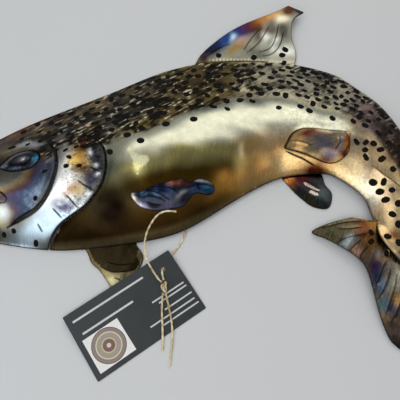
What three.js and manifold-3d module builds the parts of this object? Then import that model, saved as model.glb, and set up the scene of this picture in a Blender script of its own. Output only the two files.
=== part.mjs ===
// A wall trout of heat-coloured sheet steel, in relief, with its tag on a twine loop.
// The fish is one hollow dome, open at the back, lying on its rim. Units are
// millimetres: X towards the tail, Y towards the back of the fish, Z up from the table.

import * as THREE from 'three';
import { mergeVertices } from 'three/addons/utils/BufferGeometryUtils.js';
import Module from 'manifold-3d';

const wasm = await Module();
wasm.setup();

// ---------- Driving dimensions ----------

const bodySheet = 1.6;        // steel of the body, measured straight down
const finSheet = 1.2;         // steel of the fins
const plateGap = 0.5;         // saw-thin gap between neighbouring plates
const seatGap = 0.4;          // gap where a fin meets the body
const slitWidth = 1.2;        // open slits burnt through a plate
const crownShift = -0.15;     // crown of the dome, from the middle line towards the belly
const crownRound = 0.4;       // how round the crown is on the back side of the dome

const eye = { x: -124.3, y: -2.3, long: 15, high: 10.5, tilt: 18 };
const card = { long: 89, wide: 51, thick: 0.5, hole: 2.2, holeX: 33, holeY: 40.8, cornerCut: 1 };
const cardPlace = { x: -18.5, y: -135.2, turn: 33.9, tilt: 3.6 };
const twine = 1.6;            // diameter of the twine
const knot = { x: -12, y: -96, z: 4.6, long: 4.2, wide: 2.7, high: 2.0 };

const facet = 9;              // width of a fin's facets
const domeColumns = 56;       // facets along the dome
const domeRows = 10;          // facets across the dome
const beyond = { west: -220, east: 220, south: -120, north: 130 };  // outside the whole fish

// Ribs of the body from snout to tail: where each meets the back and the belly edge,
// the dome's rise over it, and how high the two edges lie off the table.
const ribs = [
  { back: [-194, -21], belly: [-194, -29], crown: 5, backEdge: -0.5, bellyEdge: -0.5 },
  { back: [-191, -4], belly: [-188, -38], crown: 12, backEdge: -0.5, bellyEdge: -0.5 },
  { back: [-176, 12], belly: [-172, -51], crown: 18, backEdge: -0.5, bellyEdge: -0.5 },
  { back: [-154, 28], belly: [-151, -59.5], crown: 22, backEdge: -0.5, bellyEdge: -0.5 },
  { back: [-126, 44.5], belly: [-124, -64.5], crown: 24, backEdge: -0.5, bellyEdge: -0.5 },
  { back: [-91, 61.5], belly: [-93, -67.5], crown: 25, backEdge: -0.5, bellyEdge: 0.5 },
  { back: [-56, 78.5], belly: [-62, -65.5], crown: 25, backEdge: -0.5, bellyEdge: 2 },
  { back: [-21, 96], belly: [-30, -61], crown: 24, backEdge: -0.5, bellyEdge: 2.6 },
  { back: [14, 106], belly: [0, -53], crown: 23, backEdge: -0.5, bellyEdge: 3.3 },
  { back: [49, 109.5], belly: [28, -36.5], crown: 22, backEdge: -0.5, bellyEdge: 3.5 },
  { back: [82, 108], belly: [52, -21], crown: 21, backEdge: -0.5, bellyEdge: 3 },
  { back: [110, 102.5], belly: [76, -9], crown: 19, backEdge: -0.5, bellyEdge: 3 },
  { back: [135, 92.5], belly: [96, -5.2], crown: 17, backEdge: 1, bellyEdge: 3.5 },
  { back: [153, 76], belly: [115, -5], crown: 14.5, backEdge: 3, bellyEdge: 4.5 },
  { back: [166, 60], belly: [127, -11], crown: 12.5, backEdge: 6, bellyEdge: 5.5 },
  { back: [175, 41], belly: [135.8, -18.4], crown: 11, backEdge: 9, bellyEdge: 6 },
  { back: [181.5, 22], belly: [142, -25.5], crown: 10, backEdge: 11, bellyEdge: 6 },
  { back: [186, 1], belly: [144, -29.5], crown: 9, backEdge: 12, bellyEdge: 6 },
  { back: [188, -22], belly: [145, -33.5], crown: 8, backEdge: 12, bellyEdge: 6 },
  { back: [187, -45], belly: [145.8, -38], crown: 7.5, backEdge: 12, bellyEdge: 6 },
  { back: [181, -68], belly: [146.8, -42.5], crown: 7, backEdge: 11, bellyEdge: 6.5 },
  { back: [170, -88], belly: [148.5, -47], crown: 6.5, backEdge: 9.5, bellyEdge: 7 },
];
const lastRib = ribs.length - 1;

// Where the sheet was hammered from behind or in front: place, radius and rise.
const hammerMarks = [
  [-134, 24, 20, -0.6], [-118, -34, 15, 0.6], [-90, 36, 22, 0.7], [-84, -26, 17, 0.8],
  [-48, -6, 14, -1.0], [-32, 74, 20, 0.8], [-22, 34, 20, 0.8], [8, 70, 20, -0.9],
  [10, 10, 20, -0.6], [42, 36, 22, 0.8], [38, 86, 18, 0.9], [66, 68, 18, -0.8],
  [72, 26, 15, -0.7], [96, 70, 20, 0.9], [100, 42, 14, -0.4], [126, 62, 16, -0.8],
  [150, 28, 16, 0.8], [152, 0, 14, -0.6], [164, -34, 14, 0.5],
];

// Lines along which the plates of the body part, as points that a curve runs through.
const mouthLine = [[-205, -33], [-185, -40], [-167, -42], [-150, -39], [-129, -37]];
const upperJawTop = [[-205, -29], [-184, -33], [-165, -32], [-148, -27], [-137, -28], [-129, -37]];
const jawEnd = [[-129, -37], [-131, -53], [-133, -80]];
const cheekFront = [[-129, -37], [-119, -24], [-107, -12], [-104, 2], [-107, 16]];
const cheekBack = [[-107, 16], [-97, 2], [-95, -17], [-103, -37], [-118, -47], [-131, -53]];
const gillTop = [[-107, 16], [-95, 24], [-80, 25], [-69, 17]];
const gillEdge = [
  [-69, 17], [-60, 6], [-57, -10], [-60, -25], [-72, -40], [-90, -52], [-100, -66], [-104, -80],
];
const napeLine = [[-69, 17], [-67, 50], [-60, 100]];
const frontSeam = [[1, 125], [-6, 30], [-14, -80]];
const rearSeam = [[86, 125], [72, 50], [54, -40]];
const stemSeam = [[160, 100], [142, 62], [136, 39], [133, 2], [131, -30]];

// Short slits burnt through the gill cover.
const gillTicks = [
  [[-69, -10], [-61, -14]],
  [[-77, -21], [-65, -28]],
  [[-85, -32], [-77, -40]],
  [[-95, -41], [-89, -47]],
  [[-107, -51], [-104, -56]],
];

// ---------- Curves and the dome ----------

/** A natural cubic curve through values standing one step apart. */
function naturalSpline(values) {
  const count = values.length;
  const bend = new Array(count).fill(0);
  const ratio = new Array(count).fill(0);
  for (let i = 1; i < count - 1; i++) {
    const pull = 6 * (values[i + 1] - 2 * values[i] + values[i - 1]);
    ratio[i] = 1 / (4 - ratio[i - 1]);
    bend[i] = (pull - bend[i - 1]) * ratio[i];
  }
  for (let i = count - 2; i > 0; i--) bend[i] -= ratio[i] * bend[i + 1];
  return (u) => {
    const i = Math.min(Math.max(Math.floor(u), 0), count - 2);
    const b = Math.min(Math.max(u - i, 0), 1);
    const a = 1 - b;
    const curved = ((a ** 3 - a) * bend[i] + (b ** 3 - b) * bend[i + 1]) / 6;
    return a * values[i] + b * values[i + 1] + curved;
  };
}

const backX = naturalSpline(ribs.map((rib) => rib.back[0]));
const backY = naturalSpline(ribs.map((rib) => rib.back[1]));
const bellyX = naturalSpline(ribs.map((rib) => rib.belly[0]));
const bellyY = naturalSpline(ribs.map((rib) => rib.belly[1]));
const crownRise = naturalSpline(ribs.map((rib) => rib.crown));
const backRise = naturalSpline(ribs.map((rib) => rib.backEdge));
const bellyRise = naturalSpline(ribs.map((rib) => rib.bellyEdge));

/** Height of the dome over its edges, 0 to 1, across a rib from -1 (belly) to 1 (back). */
function domeProfile(across) {
  if (across < crownShift) return 1 - ((crownShift - across) / (1 + crownShift)) ** 2;
  const out = (across - crownShift) / (1 - crownShift);
  const fall = (u) => Math.hypot(u, crownRound) - crownRound;
  return 1 - fall(out) / fall(1);
}

/** Rise of the hammered sheet: a bell for each mark, and none at the body's edges. */
function hammered(x, y, across) {
  const bells = hammerMarks.map(([markX, markY, radius, rise]) =>
    rise * Math.exp(-((Math.hypot(x - markX, y - markY) / radius) ** 2)));
  return bells.reduce((sum, bell) => sum + bell, 0) * (1 - across ** 4);
}

/** Outer surface of the body at a rib number and a place across that rib. */
function bodyPoint(rib, across) {
  const share = (across + 1) / 2;
  const edge = THREE.MathUtils.lerp(bellyRise(rib), backRise(rib), share);
  const x = THREE.MathUtils.lerp(bellyX(rib), backX(rib), share);
  const y = THREE.MathUtils.lerp(bellyY(rib), backY(rib), share);
  const domed = crownRise(rib) * domeProfile(across);
  return [x, y, edge + bodySheet + domed + hammered(x, y, across)];
}

/** Height of the body's outer surface over a point of the table, or 0 beside the body. */
function bodyHeight(x, y) {
  const step = 0.05;
  let lastSide = 0;
  for (let rib = 0; rib <= lastRib; rib += step) {
    const dx = backX(rib) - bellyX(rib);
    const dy = backY(rib) - bellyY(rib);
    const side = dx * (y - bellyY(rib)) - dy * (x - bellyX(rib));
    const across = (2 * ((x - bellyX(rib)) * dx + (y - bellyY(rib)) * dy)) / (dx * dx + dy * dy) - 1;
    if (side * lastSide < 0 && Math.abs(across) < 1.1) {
      return bodyPoint(rib, THREE.MathUtils.clamp(across, -1, 1))[2];
    }
    lastSide = side;
  }
  return 0;
}

/** A point of the back or belly edge, moved outwards from the body by a gap. */
function edgePoint(rib, side, gap) {
  const back = new THREE.Vector2(backX(rib), backY(rib));
  const belly = new THREE.Vector2(bellyX(rib), bellyY(rib));
  const out = back.clone().sub(belly).normalize().multiplyScalar(gap * side);
  const edge = side > 0 ? back.add(out) : belly.add(out);
  return [edge.x, edge.y];
}

/** A run of edge points between two rib numbers. */
function edgeRun(from, to, side, gap, count) {
  const ribAt = (i) => from + ((to - from) * i) / count;
  return Array.from({ length: count + 1 }, (_, i) => edgePoint(ribAt(i), side, gap));
}

/** Points on a smooth open curve through the given points. */
function curveThrough(points, count) {
  const corners = points.map(([x, y]) => new THREE.Vector3(x, y, 0));
  const path = new THREE.CatmullRomCurve3(corners, false, 'centripetal');
  return path.getPoints(count).map((p) => [p.x, p.y]);
}

// ---------- Solids ----------

/** The joining library's solid from a geometry, with its shared corners merged. */
function solidFrom(geometry) {
  const plain = geometry.clone();
  plain.deleteAttribute('normal');
  plain.deleteAttribute('uv');
  const merged = mergeVertices(plain, 1e-4);
  return new wasm.Manifold(new wasm.Mesh({
    numProp: 3,
    vertProperties: new Float32Array(merged.attributes.position.array),
    triVerts: new Uint32Array(merged.index.array),
  }));
}

/** A geometry from the joining library's solid. */
function geometryFrom(solid) {
  const mesh = solid.getMesh();
  const geometry = new THREE.BufferGeometry();
  geometry.setAttribute('position', new THREE.BufferAttribute(mesh.vertProperties, 3));
  geometry.setIndex(new THREE.BufferAttribute(mesh.triVerts, 1));
  return geometry;
}

/** A bent sheet over a grid of points, its underside the given depth straight below. */
function bentSheet(pointAt, columns, rows, depth) {
  const corners = [];
  const faces = [];
  const layer = (columns + 1) * (rows + 1);
  for (const drop of [0, depth]) {
    for (let i = 0; i <= columns; i++) {
      for (let j = 0; j <= rows; j++) {
        const [x, y, z] = pointAt(i / columns, j / rows);
        corners.push(x, y, z - drop);
      }
    }
  }
  const at = (i, j, under) => under * layer + i * (rows + 1) + j;
  const quad = (a, b, c, d) => faces.push(a, b, c, a, c, d);
  for (let i = 0; i < columns; i++) {
    for (let j = 0; j < rows; j++) {
      quad(at(i, j, 0), at(i + 1, j, 0), at(i + 1, j + 1, 0), at(i, j + 1, 0));
      quad(at(i, j, 1), at(i, j + 1, 1), at(i + 1, j + 1, 1), at(i + 1, j, 1));
    }
    quad(at(i + 1, 0, 0), at(i, 0, 0), at(i, 0, 1), at(i + 1, 0, 1));
    quad(at(i, rows, 0), at(i + 1, rows, 0), at(i + 1, rows, 1), at(i, rows, 1));
  }
  for (let j = 0; j < rows; j++) {
    quad(at(0, j, 0), at(0, j + 1, 0), at(0, j + 1, 1), at(0, j, 1));
    quad(at(columns, j + 1, 0), at(columns, j, 0), at(columns, j, 1), at(columns, j + 1, 1));
  }
  const geometry = new THREE.BufferGeometry();
  geometry.setAttribute('position', new THREE.Float32BufferAttribute(corners, 3));
  geometry.setIndex(faces);
  return solidFrom(geometry);
}

/** An upright prism on an outline, tall enough to pass through the whole relief. */
function prism(outline) {
  const reach = 80;
  const shape = new THREE.Shape(outline.map(([x, y]) => new THREE.Vector2(x, y)));
  const geometry = new THREE.ExtrudeGeometry(shape, { depth: 2 * reach, bevelEnabled: false });
  geometry.translate(0, 0, -reach);
  return solidFrom(geometry);
}

/** A prism on a thin band along a line, which cuts a slit of that width. */
function slit(points, width) {
  const left = [];
  const right = [];
  points.forEach(([x, y], i) => {
    const [ax, ay] = points[Math.max(i - 1, 0)];
    const [bx, by] = points[Math.min(i + 1, points.length - 1)];
    const half = width / 2 / Math.hypot(bx - ax, by - ay);
    left.push([x - (by - ay) * half, y + (bx - ax) * half]);
    right.unshift([x + (by - ay) * half, y - (bx - ax) * half]);
  });
  return prism([...left, ...right]);
}

/** A flat fin plate, bent to a height over the table and cut to its outline. */
function finPlate(outline, heightAt, slits = []) {
  const xs = outline.map((p) => p[0]);
  const ys = outline.map((p) => p[1]);
  const [west, east] = [Math.min(...xs) - 1, Math.max(...xs) + 1];
  const [south, north] = [Math.min(...ys) - 1, Math.max(...ys) + 1];
  const place = (u, v) => {
    const x = THREE.MathUtils.lerp(west, east, u);
    const y = THREE.MathUtils.lerp(south, north, v);
    return [x, y, heightAt(x, y)];
  };
  const columns = Math.ceil((east - west) / facet);
  const rows = Math.ceil((north - south) / facet);
  let plate = bentSheet(place, columns, rows, finSheet).intersect(prism(outline));
  for (const cut of slits) plate = plate.subtract(slit(curveThrough(cut, 6), slitWidth));
  return plate;
}

// ---------- The model ----------

const group = new THREE.Group();

/** Adds one named piece with a finish of its own. */
function addPiece(name, geometry, color, roughness, metalness, parent = group) {
  const mesh = new THREE.Mesh(geometry, new THREE.MeshStandardMaterial({ color, roughness, metalness }));
  mesh.name = name;
  parent.add(mesh);
  return mesh;
}

/** Adds one steel plate. */
function addSteel(name, solid, color, roughness = 0.35) {
  addPiece(name, geometryFrom(solid), color, roughness, 1);
}

// The whole dome, with all that would reach below the table cut away.
const belowTable = solidFrom(new THREE.BoxGeometry(600, 600, 20).translate(0, 0, -10));
const domeAt = (u, v) => bodyPoint(u * lastRib, 2 * v - 1);
const dome = bentSheet(domeAt, domeColumns, domeRows, bodySheet).subtract(belowTable);

const line = {
  mouth: curveThrough(mouthLine, 12),
  jawTop: curveThrough(upperJawTop, 14),
  jawEnd: curveThrough(jawEnd, 4),
  cheekFront: curveThrough(cheekFront, 10),
  cheekBack: curveThrough(cheekBack, 14),
  gillTop: curveThrough(gillTop, 8),
  gill: curveThrough(gillEdge, 20),
  nape: curveThrough(napeLine, 4),
  front: curveThrough(frontSeam, 4),
  rear: curveThrough(rearSeam, 4),
  stem: curveThrough(stemSeam, 8),
};
const turned = (points) => [...points].reverse();
const eyeRing = Array.from({ length: 24 }, (_, i) => {
  const angle = (i / 24) * 2 * Math.PI;
  const tilt = THREE.MathUtils.degToRad(eye.tilt);
  const [a, b] = [eye.long * Math.cos(angle), eye.high * Math.sin(angle)];
  return [eye.x + a * Math.cos(tilt) - b * Math.sin(tilt), eye.y + a * Math.sin(tilt) + b * Math.cos(tilt)];
});

const seams = Object.values(line).map((points) => slit(points, plateGap));
seams.push(slit([...eyeRing, eyeRing[0], eyeRing[1]], plateGap));

/** A plate of the body: the dome inside one outline, parted from its neighbours. */
function bodyPlate(outline) {
  let plate = dome.intersect(prism(outline));
  for (const seam of seams) plate = plate.subtract(seam);
  return plate;
}

const outlines = {
  headTop: [
    ...line.jawTop, ...line.cheekFront.slice(1), ...line.gillTop.slice(1), ...line.nape.slice(1),
    [-60, beyond.north], [beyond.west, beyond.north], [beyond.west, -29],
  ],
  upperJaw: [...line.mouth, ...turned(line.jawTop).slice(1)],
  lowerJaw: [...line.mouth, ...line.jawEnd.slice(1), [beyond.west, -80], [beyond.west, -33]],
  cheek: [...line.cheekBack, ...turned(line.jawEnd).slice(-2), ...line.cheekFront.slice(1, -1)],
  gillCover: [
    ...line.gillTop, ...line.gill.slice(1), [-133, -80],
    ...turned(line.jawEnd).slice(1, 3), ...turned(line.cheekBack).slice(1, -1),
  ],
  trunkFront: [
    ...line.nape, [1, beyond.north], ...line.front, [-104, -85], ...turned(line.gill).slice(0, -1),
  ],
  trunkMiddle: [...line.front, [54, -80], ...turned(line.rear), [1, beyond.north]],
  trunkRear: [...line.rear, [131, -60], ...turned(line.stem), [120, beyond.north]],
  tailStem: [...line.stem, [131, beyond.south], [beyond.east, beyond.south], [beyond.east, 100]],
};
let gillCover = bodyPlate(outlines.gillCover);
for (const tick of gillTicks) gillCover = gillCover.subtract(slit(tick, slitWidth));

addSteel('head_top', bodyPlate(outlines.headTop).subtract(prism(eyeRing)), '#6b5a3f');
addSteel('eye', bodyPlate(eyeRing), '#243a4d', 0.25);
addSteel('upper_jaw', bodyPlate(outlines.upperJaw), '#8a8478');
addSteel('lower_jaw', bodyPlate(outlines.lowerJaw), '#6f7e8f');
addSteel('cheek_plate', bodyPlate(outlines.cheek), '#8a7350');
addSteel('gill_cover', gillCover, '#c9c4c4');
addSteel('trunk_front', bodyPlate(outlines.trunkFront), '#6a6142');
addSteel('trunk_middle', bodyPlate(outlines.trunkMiddle), '#b9b08a');
addSteel('trunk_rear', bodyPlate(outlines.trunkRear), '#a08a5c');
addSteel('tail_stem', bodyPlate(outlines.tailStem), '#cdbfa6');

// Dorsal fin: rises off the back edge, a little off the table at its tip.
const dorsalOutline = [
  ...edgeRun(7.86, 10.62, 1, seatGap, 8),
  [101.5, 112], [101.3, 120], [98.2, 133], [98.8, 144], [104, 156.6], [111, 161], [99, 171],
  [91, 166], [79, 160], [61, 151], [41, 139], [26, 127], [15, 115.5],
];
const dorsalRays = [
  [[38, 114], [45, 122], [62, 136]],
  [[52, 115], [60, 126], [76, 144]],
  [[66, 115], [74, 128], [87, 149]],
  [[80, 114], [85, 126], [92, 145]],
];
const dorsalHeight = (x, y) => bodySheet + 0.1 * (y - 106);
addSteel('dorsal_fin', finPlate(dorsalOutline, dorsalHeight, dorsalRays), '#7f8fa8');

// Adipose fin: a small lobe on the back edge of the tail stem.
const adiposeOutline = [
  ...edgeRun(16.1, 17.4, 1, seatGap, 4),
  [190, -12], [194.4, -17], [194.8, -11], [191.5, 3], [187.5, 14],
];
addSteel('adipose_fin', finPlate(adiposeOutline, () => 12.8), '#4b4a3c');

// Tail fin: two lobes that slope from the stem down to the table.
const tailRoot = new THREE.Vector2(160, -66);
const tailHeight = (x, y) => {
  const away = THREE.MathUtils.smoothstep(tailRoot.distanceTo(new THREE.Vector2(x, y)), 12, 88);
  return finSheet + 8 * (1 - away);
};
const lobeLine = [[149, -46], [146, -52], [135, -56.5], [125, -60.5], [117, -64], [105, -70]];
const lobeSlit = curveThrough(lobeLine, 8);
const tailOutline = [
  ...edgeRun(18.4, lastRib, -1, seatGap, 3), [148.1, -47.2], [169.6, -88.2], [176, -99],
  [184.5, -118], [190, -145], [193, -167], [190.5, -171], [184, -168], [170, -154],
  [153, -138], [147, -131], [142, -115], [139, -97], [136, -83], [130, -74],
  [117, -64], [105, -57], [101, -52.5], [118, -46], [131, -43.5],
];
const aboveSlit = prism([...lobeSlit, [90, -60], [95, -38], [149, -30]]);
const tailRays = [
  [[138, -64], [131, -70]],
  [[145, -64], [139, -72], [142, -78]],
  [[156, -80], [151, -90], [147, -101]],
  [[160, -86], [156, -98], [151, -110]],
  [[165, -91], [161, -106], [155, -120]],
  [[170, -96], [168, -112], [162, -132]],
  [[176, -106], [176, -122], [172, -144]],
];
const tailFin = finPlate(tailOutline, tailHeight, tailRays).subtract(slit(lobeSlit, plateGap));
addSteel('tail_fin_upper_lobe', tailFin.intersect(aboveSlit), '#8c8577');
addSteel('tail_fin_lower_lobe', tailFin.subtract(aboveSlit), '#5f4f45');

// Paired fins. The near ones stand just off the flank, and the far ones lie on the table.
const nearPectoral = [
  [-37, -30], [-35, -35], [-30, -39], [-20, -41], [-9, -40], [0, -38], [5, -34], [8, -30],
  [13, -28], [21, -28.5], [25, -25], [24, -22], [19, -19], [12, -19], [6, -21.5], [0, -19],
  [-10, -21], [-21, -24], [-29, -28],
];
const pectoralLift = (x) => 3.5 * THREE.MathUtils.smoothstep(x, -37, 40);
const pectoralHeight = (x, y) => bodyHeight(x, y) + seatGap + finSheet + pectoralLift(x);
addSteel('near_pectoral_fin', finPlate(nearPectoral, pectoralHeight), '#39465c');

const nearPelvic = [
  [83.5, 14], [87, 20], [93, 24], [100, 25.6], [109, 25], [119, 23.6], [131.5, 23.2], [132.4, 19],
  [132, 12], [129.5, 6], [124, 1.4], [118, -0.6], [112, -0.2], [106, 2], [98, 5.4], [91, 7.6],
  [82.5, 9.8],
];
const pelvicHeight = (x, y) => 24 - 0.011 * (27 - y) ** 2 - 0.0012 * Math.max(x - 105, 0) ** 2;
addSteel('near_pelvic_fin', finPlate(nearPelvic, pelvicHeight), '#9a7146');

const farPectoral = [
  [-74, -58], [-73, -67], [-68, -76], [-63, -81], [-57.5, -87], [-51, -95.5], [-45, -99], [-41, -96],
  [-39, -89], [-34, -84], [-30, -78], [-30, -70], [-35, -62], [-38, -58],
];
const farPectoralRays = [[[-60, -70], [-56, -82], [-48, -93]]];
addSteel('far_pectoral_fin', finPlate(farPectoral, () => finSheet, farPectoralRays), '#5a5138');

const farPelvic = [
  [84, -3], [82.5, -10], [87, -16], [91, -21], [96, -26], [102, -31], [109, -33.4], [115, -33],
  [118.3, -27], [118.5, -19], [114, -11.5], [108, 0],
];
const farPelvicRays = [[[100, -12], [108, -20]], [[97, -15], [104, -23]]];
addSteel('far_pelvic_fin', finPlate(farPelvic, () => finSheet, farPelvicRays), '#6b5a4a');

// Tag: a stiff paper card with a punched hole, one long edge on the table.
const cardShape = new THREE.Shape([
  new THREE.Vector2(-card.long / 2 + card.cornerCut, 0),
  new THREE.Vector2(card.long / 2 - card.cornerCut, 0),
  new THREE.Vector2(card.long / 2, card.cornerCut),
  new THREE.Vector2(card.long / 2, card.wide - card.cornerCut),
  new THREE.Vector2(card.long / 2 - card.cornerCut, card.wide),
  new THREE.Vector2(-card.long / 2 + card.cornerCut, card.wide),
  new THREE.Vector2(-card.long / 2, card.wide - card.cornerCut),
  new THREE.Vector2(-card.long / 2, card.cornerCut),
]);
cardShape.holes.push(new THREE.Path().absarc(card.holeX, card.holeY, card.hole, 0, 2 * Math.PI, true));
const cardBase = new THREE.Group();
cardBase.position.set(cardPlace.x, cardPlace.y, 0);
cardBase.rotation.z = THREE.MathUtils.degToRad(cardPlace.turn);
group.add(cardBase);
const cardSizes = { depth: card.thick, bevelEnabled: false, curveSegments: 12 };
const cardSolid = new THREE.ExtrudeGeometry(cardShape, cardSizes);
const cardMesh = addPiece('tag_card', cardSolid, '#2f3133', 0.7, 0, cardBase);
cardMesh.rotation.x = THREE.MathUtils.degToRad(cardPlace.tilt);

// Twine: one loop through the fish and the card, tied in a knot with two free ends.
const twineSection = new THREE.Shape(
  Array.from({ length: 8 }, (_, i) => {
    const angle = ((i + 0.5) / 8) * 2 * Math.PI;
    return new THREE.Vector2((twine / 2) * Math.cos(angle), (twine / 2) * Math.sin(angle));
  }),
);
const twineRoutes = {
  twine_over_flank: [
    [-4, -41.5, 15.2], [-7, -41.6, 16.4], [-12, -42, 17], [-17, -44, 15.9],
    [-21.5, -48.5, 13.6], [-25.5, -55, 10], [-27.5, -62, 6.4], [-27.5, -69, 4.9],
    [-25.5, -76, 4.9], [-21.5, -83, 4.8], [-17, -89.5, 4.6], [-14, -92.6, 4.6],
  ],
  twine_under_belly: [
    [-3, -40, 10.5], [-2.5, -42, 7], [-1, -44.5, 4], [1, -48, 2], [2.5, -53, 1.2],
    [1, -58.5, 1], [-2.5, -64.5, 1], [-7, -71, 1], [-11, -77.5, 1], [-13.2, -81.4, 1.5],
    [-13.9, -83, 2.9], [-14, -84.6, 4.4], [-13.5, -87.5, 5.2], [-12.6, -91.2, 5],
  ],
  twine_short_end: [
    [-12.9, -100.2, 4.2], [-13.3, -106, 3.3], [-13.3, -113, 2.8], [-12.8, -121, 2.4],
    [-12.4, -128, 2.1], [-12.1, -134, 1.3], [-12, -139.5, 0.9],
  ],
  twine_long_end: [
    [-10.9, -99.9, 4.2], [-9.4, -106, 3.4], [-7.7, -113, 3], [-6.3, -120, 2.6],
    [-5.6, -127, 2.2], [-5.6, -134, 1.3], [-6.2, -141, 0.9], [-7, -150, 0.9],
  ],
};
for (const [name, route] of Object.entries(twineRoutes)) {
  const points = route.map(([x, y, z]) => new THREE.Vector3(x, y, z));
  const path = new THREE.CatmullRomCurve3(points, false, 'centripetal');
  const steps = Math.round(path.getLength() / (2.6 * twine));
  const tube = new THREE.ExtrudeGeometry(twineSection, { steps, extrudePath: path, bevelEnabled: false });
  addPiece(name, tube, '#b99a6b', 0.9, 0);
}
const knotSolid = new THREE.SphereGeometry(1, 12, 8);
knotSolid.scale(knot.wide, knot.long, knot.high).translate(knot.x, knot.y, knot.z);
addPiece('twine_knot', knotSolid, '#b3925f', 0.9, 0);

export default group;
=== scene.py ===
"""A wall trout cut from sheet steel, domed in relief and coloured with a torch.

It lies on its rim on a table, with a plain tag card tied on by a twine loop. Metres,
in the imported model's frame: X towards the tail, Y towards the fish's back, Z up.
"""

import math

import bpy
import numpy as np
from mathutils.geometry import delaunay_2d_cdt
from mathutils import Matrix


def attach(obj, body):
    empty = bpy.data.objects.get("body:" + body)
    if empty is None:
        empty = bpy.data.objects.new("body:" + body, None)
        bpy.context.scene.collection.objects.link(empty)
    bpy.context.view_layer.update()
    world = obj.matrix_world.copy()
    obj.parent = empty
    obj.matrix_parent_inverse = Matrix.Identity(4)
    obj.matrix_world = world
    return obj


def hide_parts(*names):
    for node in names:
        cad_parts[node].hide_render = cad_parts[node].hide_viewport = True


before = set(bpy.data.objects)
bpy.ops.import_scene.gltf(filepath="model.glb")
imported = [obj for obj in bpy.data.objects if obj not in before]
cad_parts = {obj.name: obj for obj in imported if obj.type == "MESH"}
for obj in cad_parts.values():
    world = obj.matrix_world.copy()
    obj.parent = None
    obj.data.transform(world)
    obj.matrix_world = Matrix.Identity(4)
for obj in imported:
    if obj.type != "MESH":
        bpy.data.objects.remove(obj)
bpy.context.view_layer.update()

MM = 0.001

# ---- Camera ----
# A phone's wide lens held close over the table, tipped 22 degrees from straight down.
CAMERA_PLACE = (14 * MM, -157.31 * MM, 325 * MM)
CAMERA_TIP = math.radians(22)
CAMERA_LENS = 39.6
CAMERA_SENSOR = 36.0

camera = bpy.data.objects.new("Camera", bpy.data.cameras.new("Camera"))
bpy.context.scene.collection.objects.link(camera)
camera.location = CAMERA_PLACE
camera.rotation_euler = (CAMERA_TIP, 0, 0)
camera.data.lens = CAMERA_LENS
camera.data.sensor_width = CAMERA_SENSOR
bpy.context.scene.camera = camera
bpy.context.scene.view_settings.view_transform = "Standard"

# ---- Twine ----
# Natural two-ply hemp twine, 1.6 mm thick. One loop goes in through the slit under the
# fin, out under the belly rim and up through the card's hole, and is tied over the card.
TWINE_THICK = 1.6 * MM
TWINE_LAY = 5.2 * MM          # length of one full turn of the two plies
TWINE_STEP = 0.45 * MM
TWINE_SIDES = 18
TWINE_ROUTES = {
    "twine_over_flank": [
        (-4, -41.5, 15.2), (-7, -41.6, 16.4), (-12, -42, 17), (-17, -44, 15.9),
        (-21.5, -48.5, 13.6), (-25.5, -55, 10), (-27.5, -62, 6.4), (-27.5, -69, 4.9),
        (-25.5, -76, 4.9), (-21.5, -83, 4.8), (-17, -89.5, 4.6), (-14, -92.6, 4.6),
    ],
    "twine_under_belly": [
        (-3, -40, 10.5), (-2.5, -42, 7), (-1, -44.5, 4), (1, -48, 2), (2.5, -53, 1.2),
        (1, -58.5, 1), (-2.5, -64.5, 1), (-7, -71, 1), (-11, -77.5, 1), (-13.2, -81.4, 1.5),
        (-13.9, -83, 2.9), (-14, -84.6, 4.4), (-13.5, -87.5, 5.2), (-12.6, -91.2, 5),
    ],
    "twine_short_end": [
        (-12.9, -100.2, 4.2), (-13.3, -106, 3.3), (-13.3, -113, 2.8), (-12.8, -121, 2.4),
        (-12.4, -128, 2.1), (-12.1, -134, 1.3), (-12, -139.5, 0.9),
    ],
    "twine_long_end": [
        (-10.9, -99.9, 4.2), (-9.4, -106, 3.4), (-7.7, -113, 3), (-6.3, -120, 2.6),
        (-5.6, -127, 2.2), (-5.6, -134, 1.3), (-6.2, -141, 0.9), (-7, -150, 0.9),
    ],
}
FINE_STEPS = 40               # fine points for each place that a curve is given
OVERLAP = 3                   # places by which a closed curve runs over its own end
LEAST_ROUND = 200             # fine points before a closed curve can be back
KNOT_PLACE = np.array([-12, -96, 4.6]) * MM
KNOT_HALF = np.array([2.7, 4.2, 2.0]) * MM
TWINE_PALE = "#f6ebc8"
TWINE_DEEP = "#b0935a"


def linear(code):
    """An sRGB hex colour as linear red, green and blue."""
    share = np.array([int(code[i : i + 2], 16) for i in (1, 3, 5)]) / 255
    return np.where(share <= 0.04045, share / 12.92, ((share + 0.055) / 1.055) ** 2.4)


def colour(code):
    """An sRGB hex colour as the four numbers that a colour socket takes."""
    return (*linear(code), 1.0)


def feed(tree, node, inputs):
    """Sets or links a node's inputs: a mapping by name or number, and a row in order."""
    for socket, value in inputs.items() if isinstance(inputs, dict) else enumerate(inputs):
        if isinstance(value, bpy.types.NodeSocket):
            tree.links.new(value, node.inputs[socket])
        else:
            node.inputs[socket].default_value = value


def add(tree, kind, inputs=(), **settings):
    """Adds a shader node, sets its properties and feeds it. Gives back the first of its
    outputs that is in use."""
    node = tree.nodes.new("ShaderNode" + kind)
    for key, value in settings.items():
        setattr(node, key, value)
    feed(tree, node, inputs)
    return next(output for output in node.outputs if output.enabled)


def new_finish(name):
    """A new material, with its tree, its shader and the place on the piece."""
    material = bpy.data.materials.new(name)
    material.use_nodes = True
    tree = material.node_tree
    where = add(tree, "TexCoord").node.outputs["Object"]
    return material, tree, tree.nodes["Principled BSDF"], where


def hand_over(piece, nodes=(), finishes=()):
    """Gives a piece its finishes, the solids it stands for and the one body."""
    for finish in finishes:
        piece.data.materials.append(finish)
    if nodes:
        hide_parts(*nodes)
    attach(piece, "root")


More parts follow.
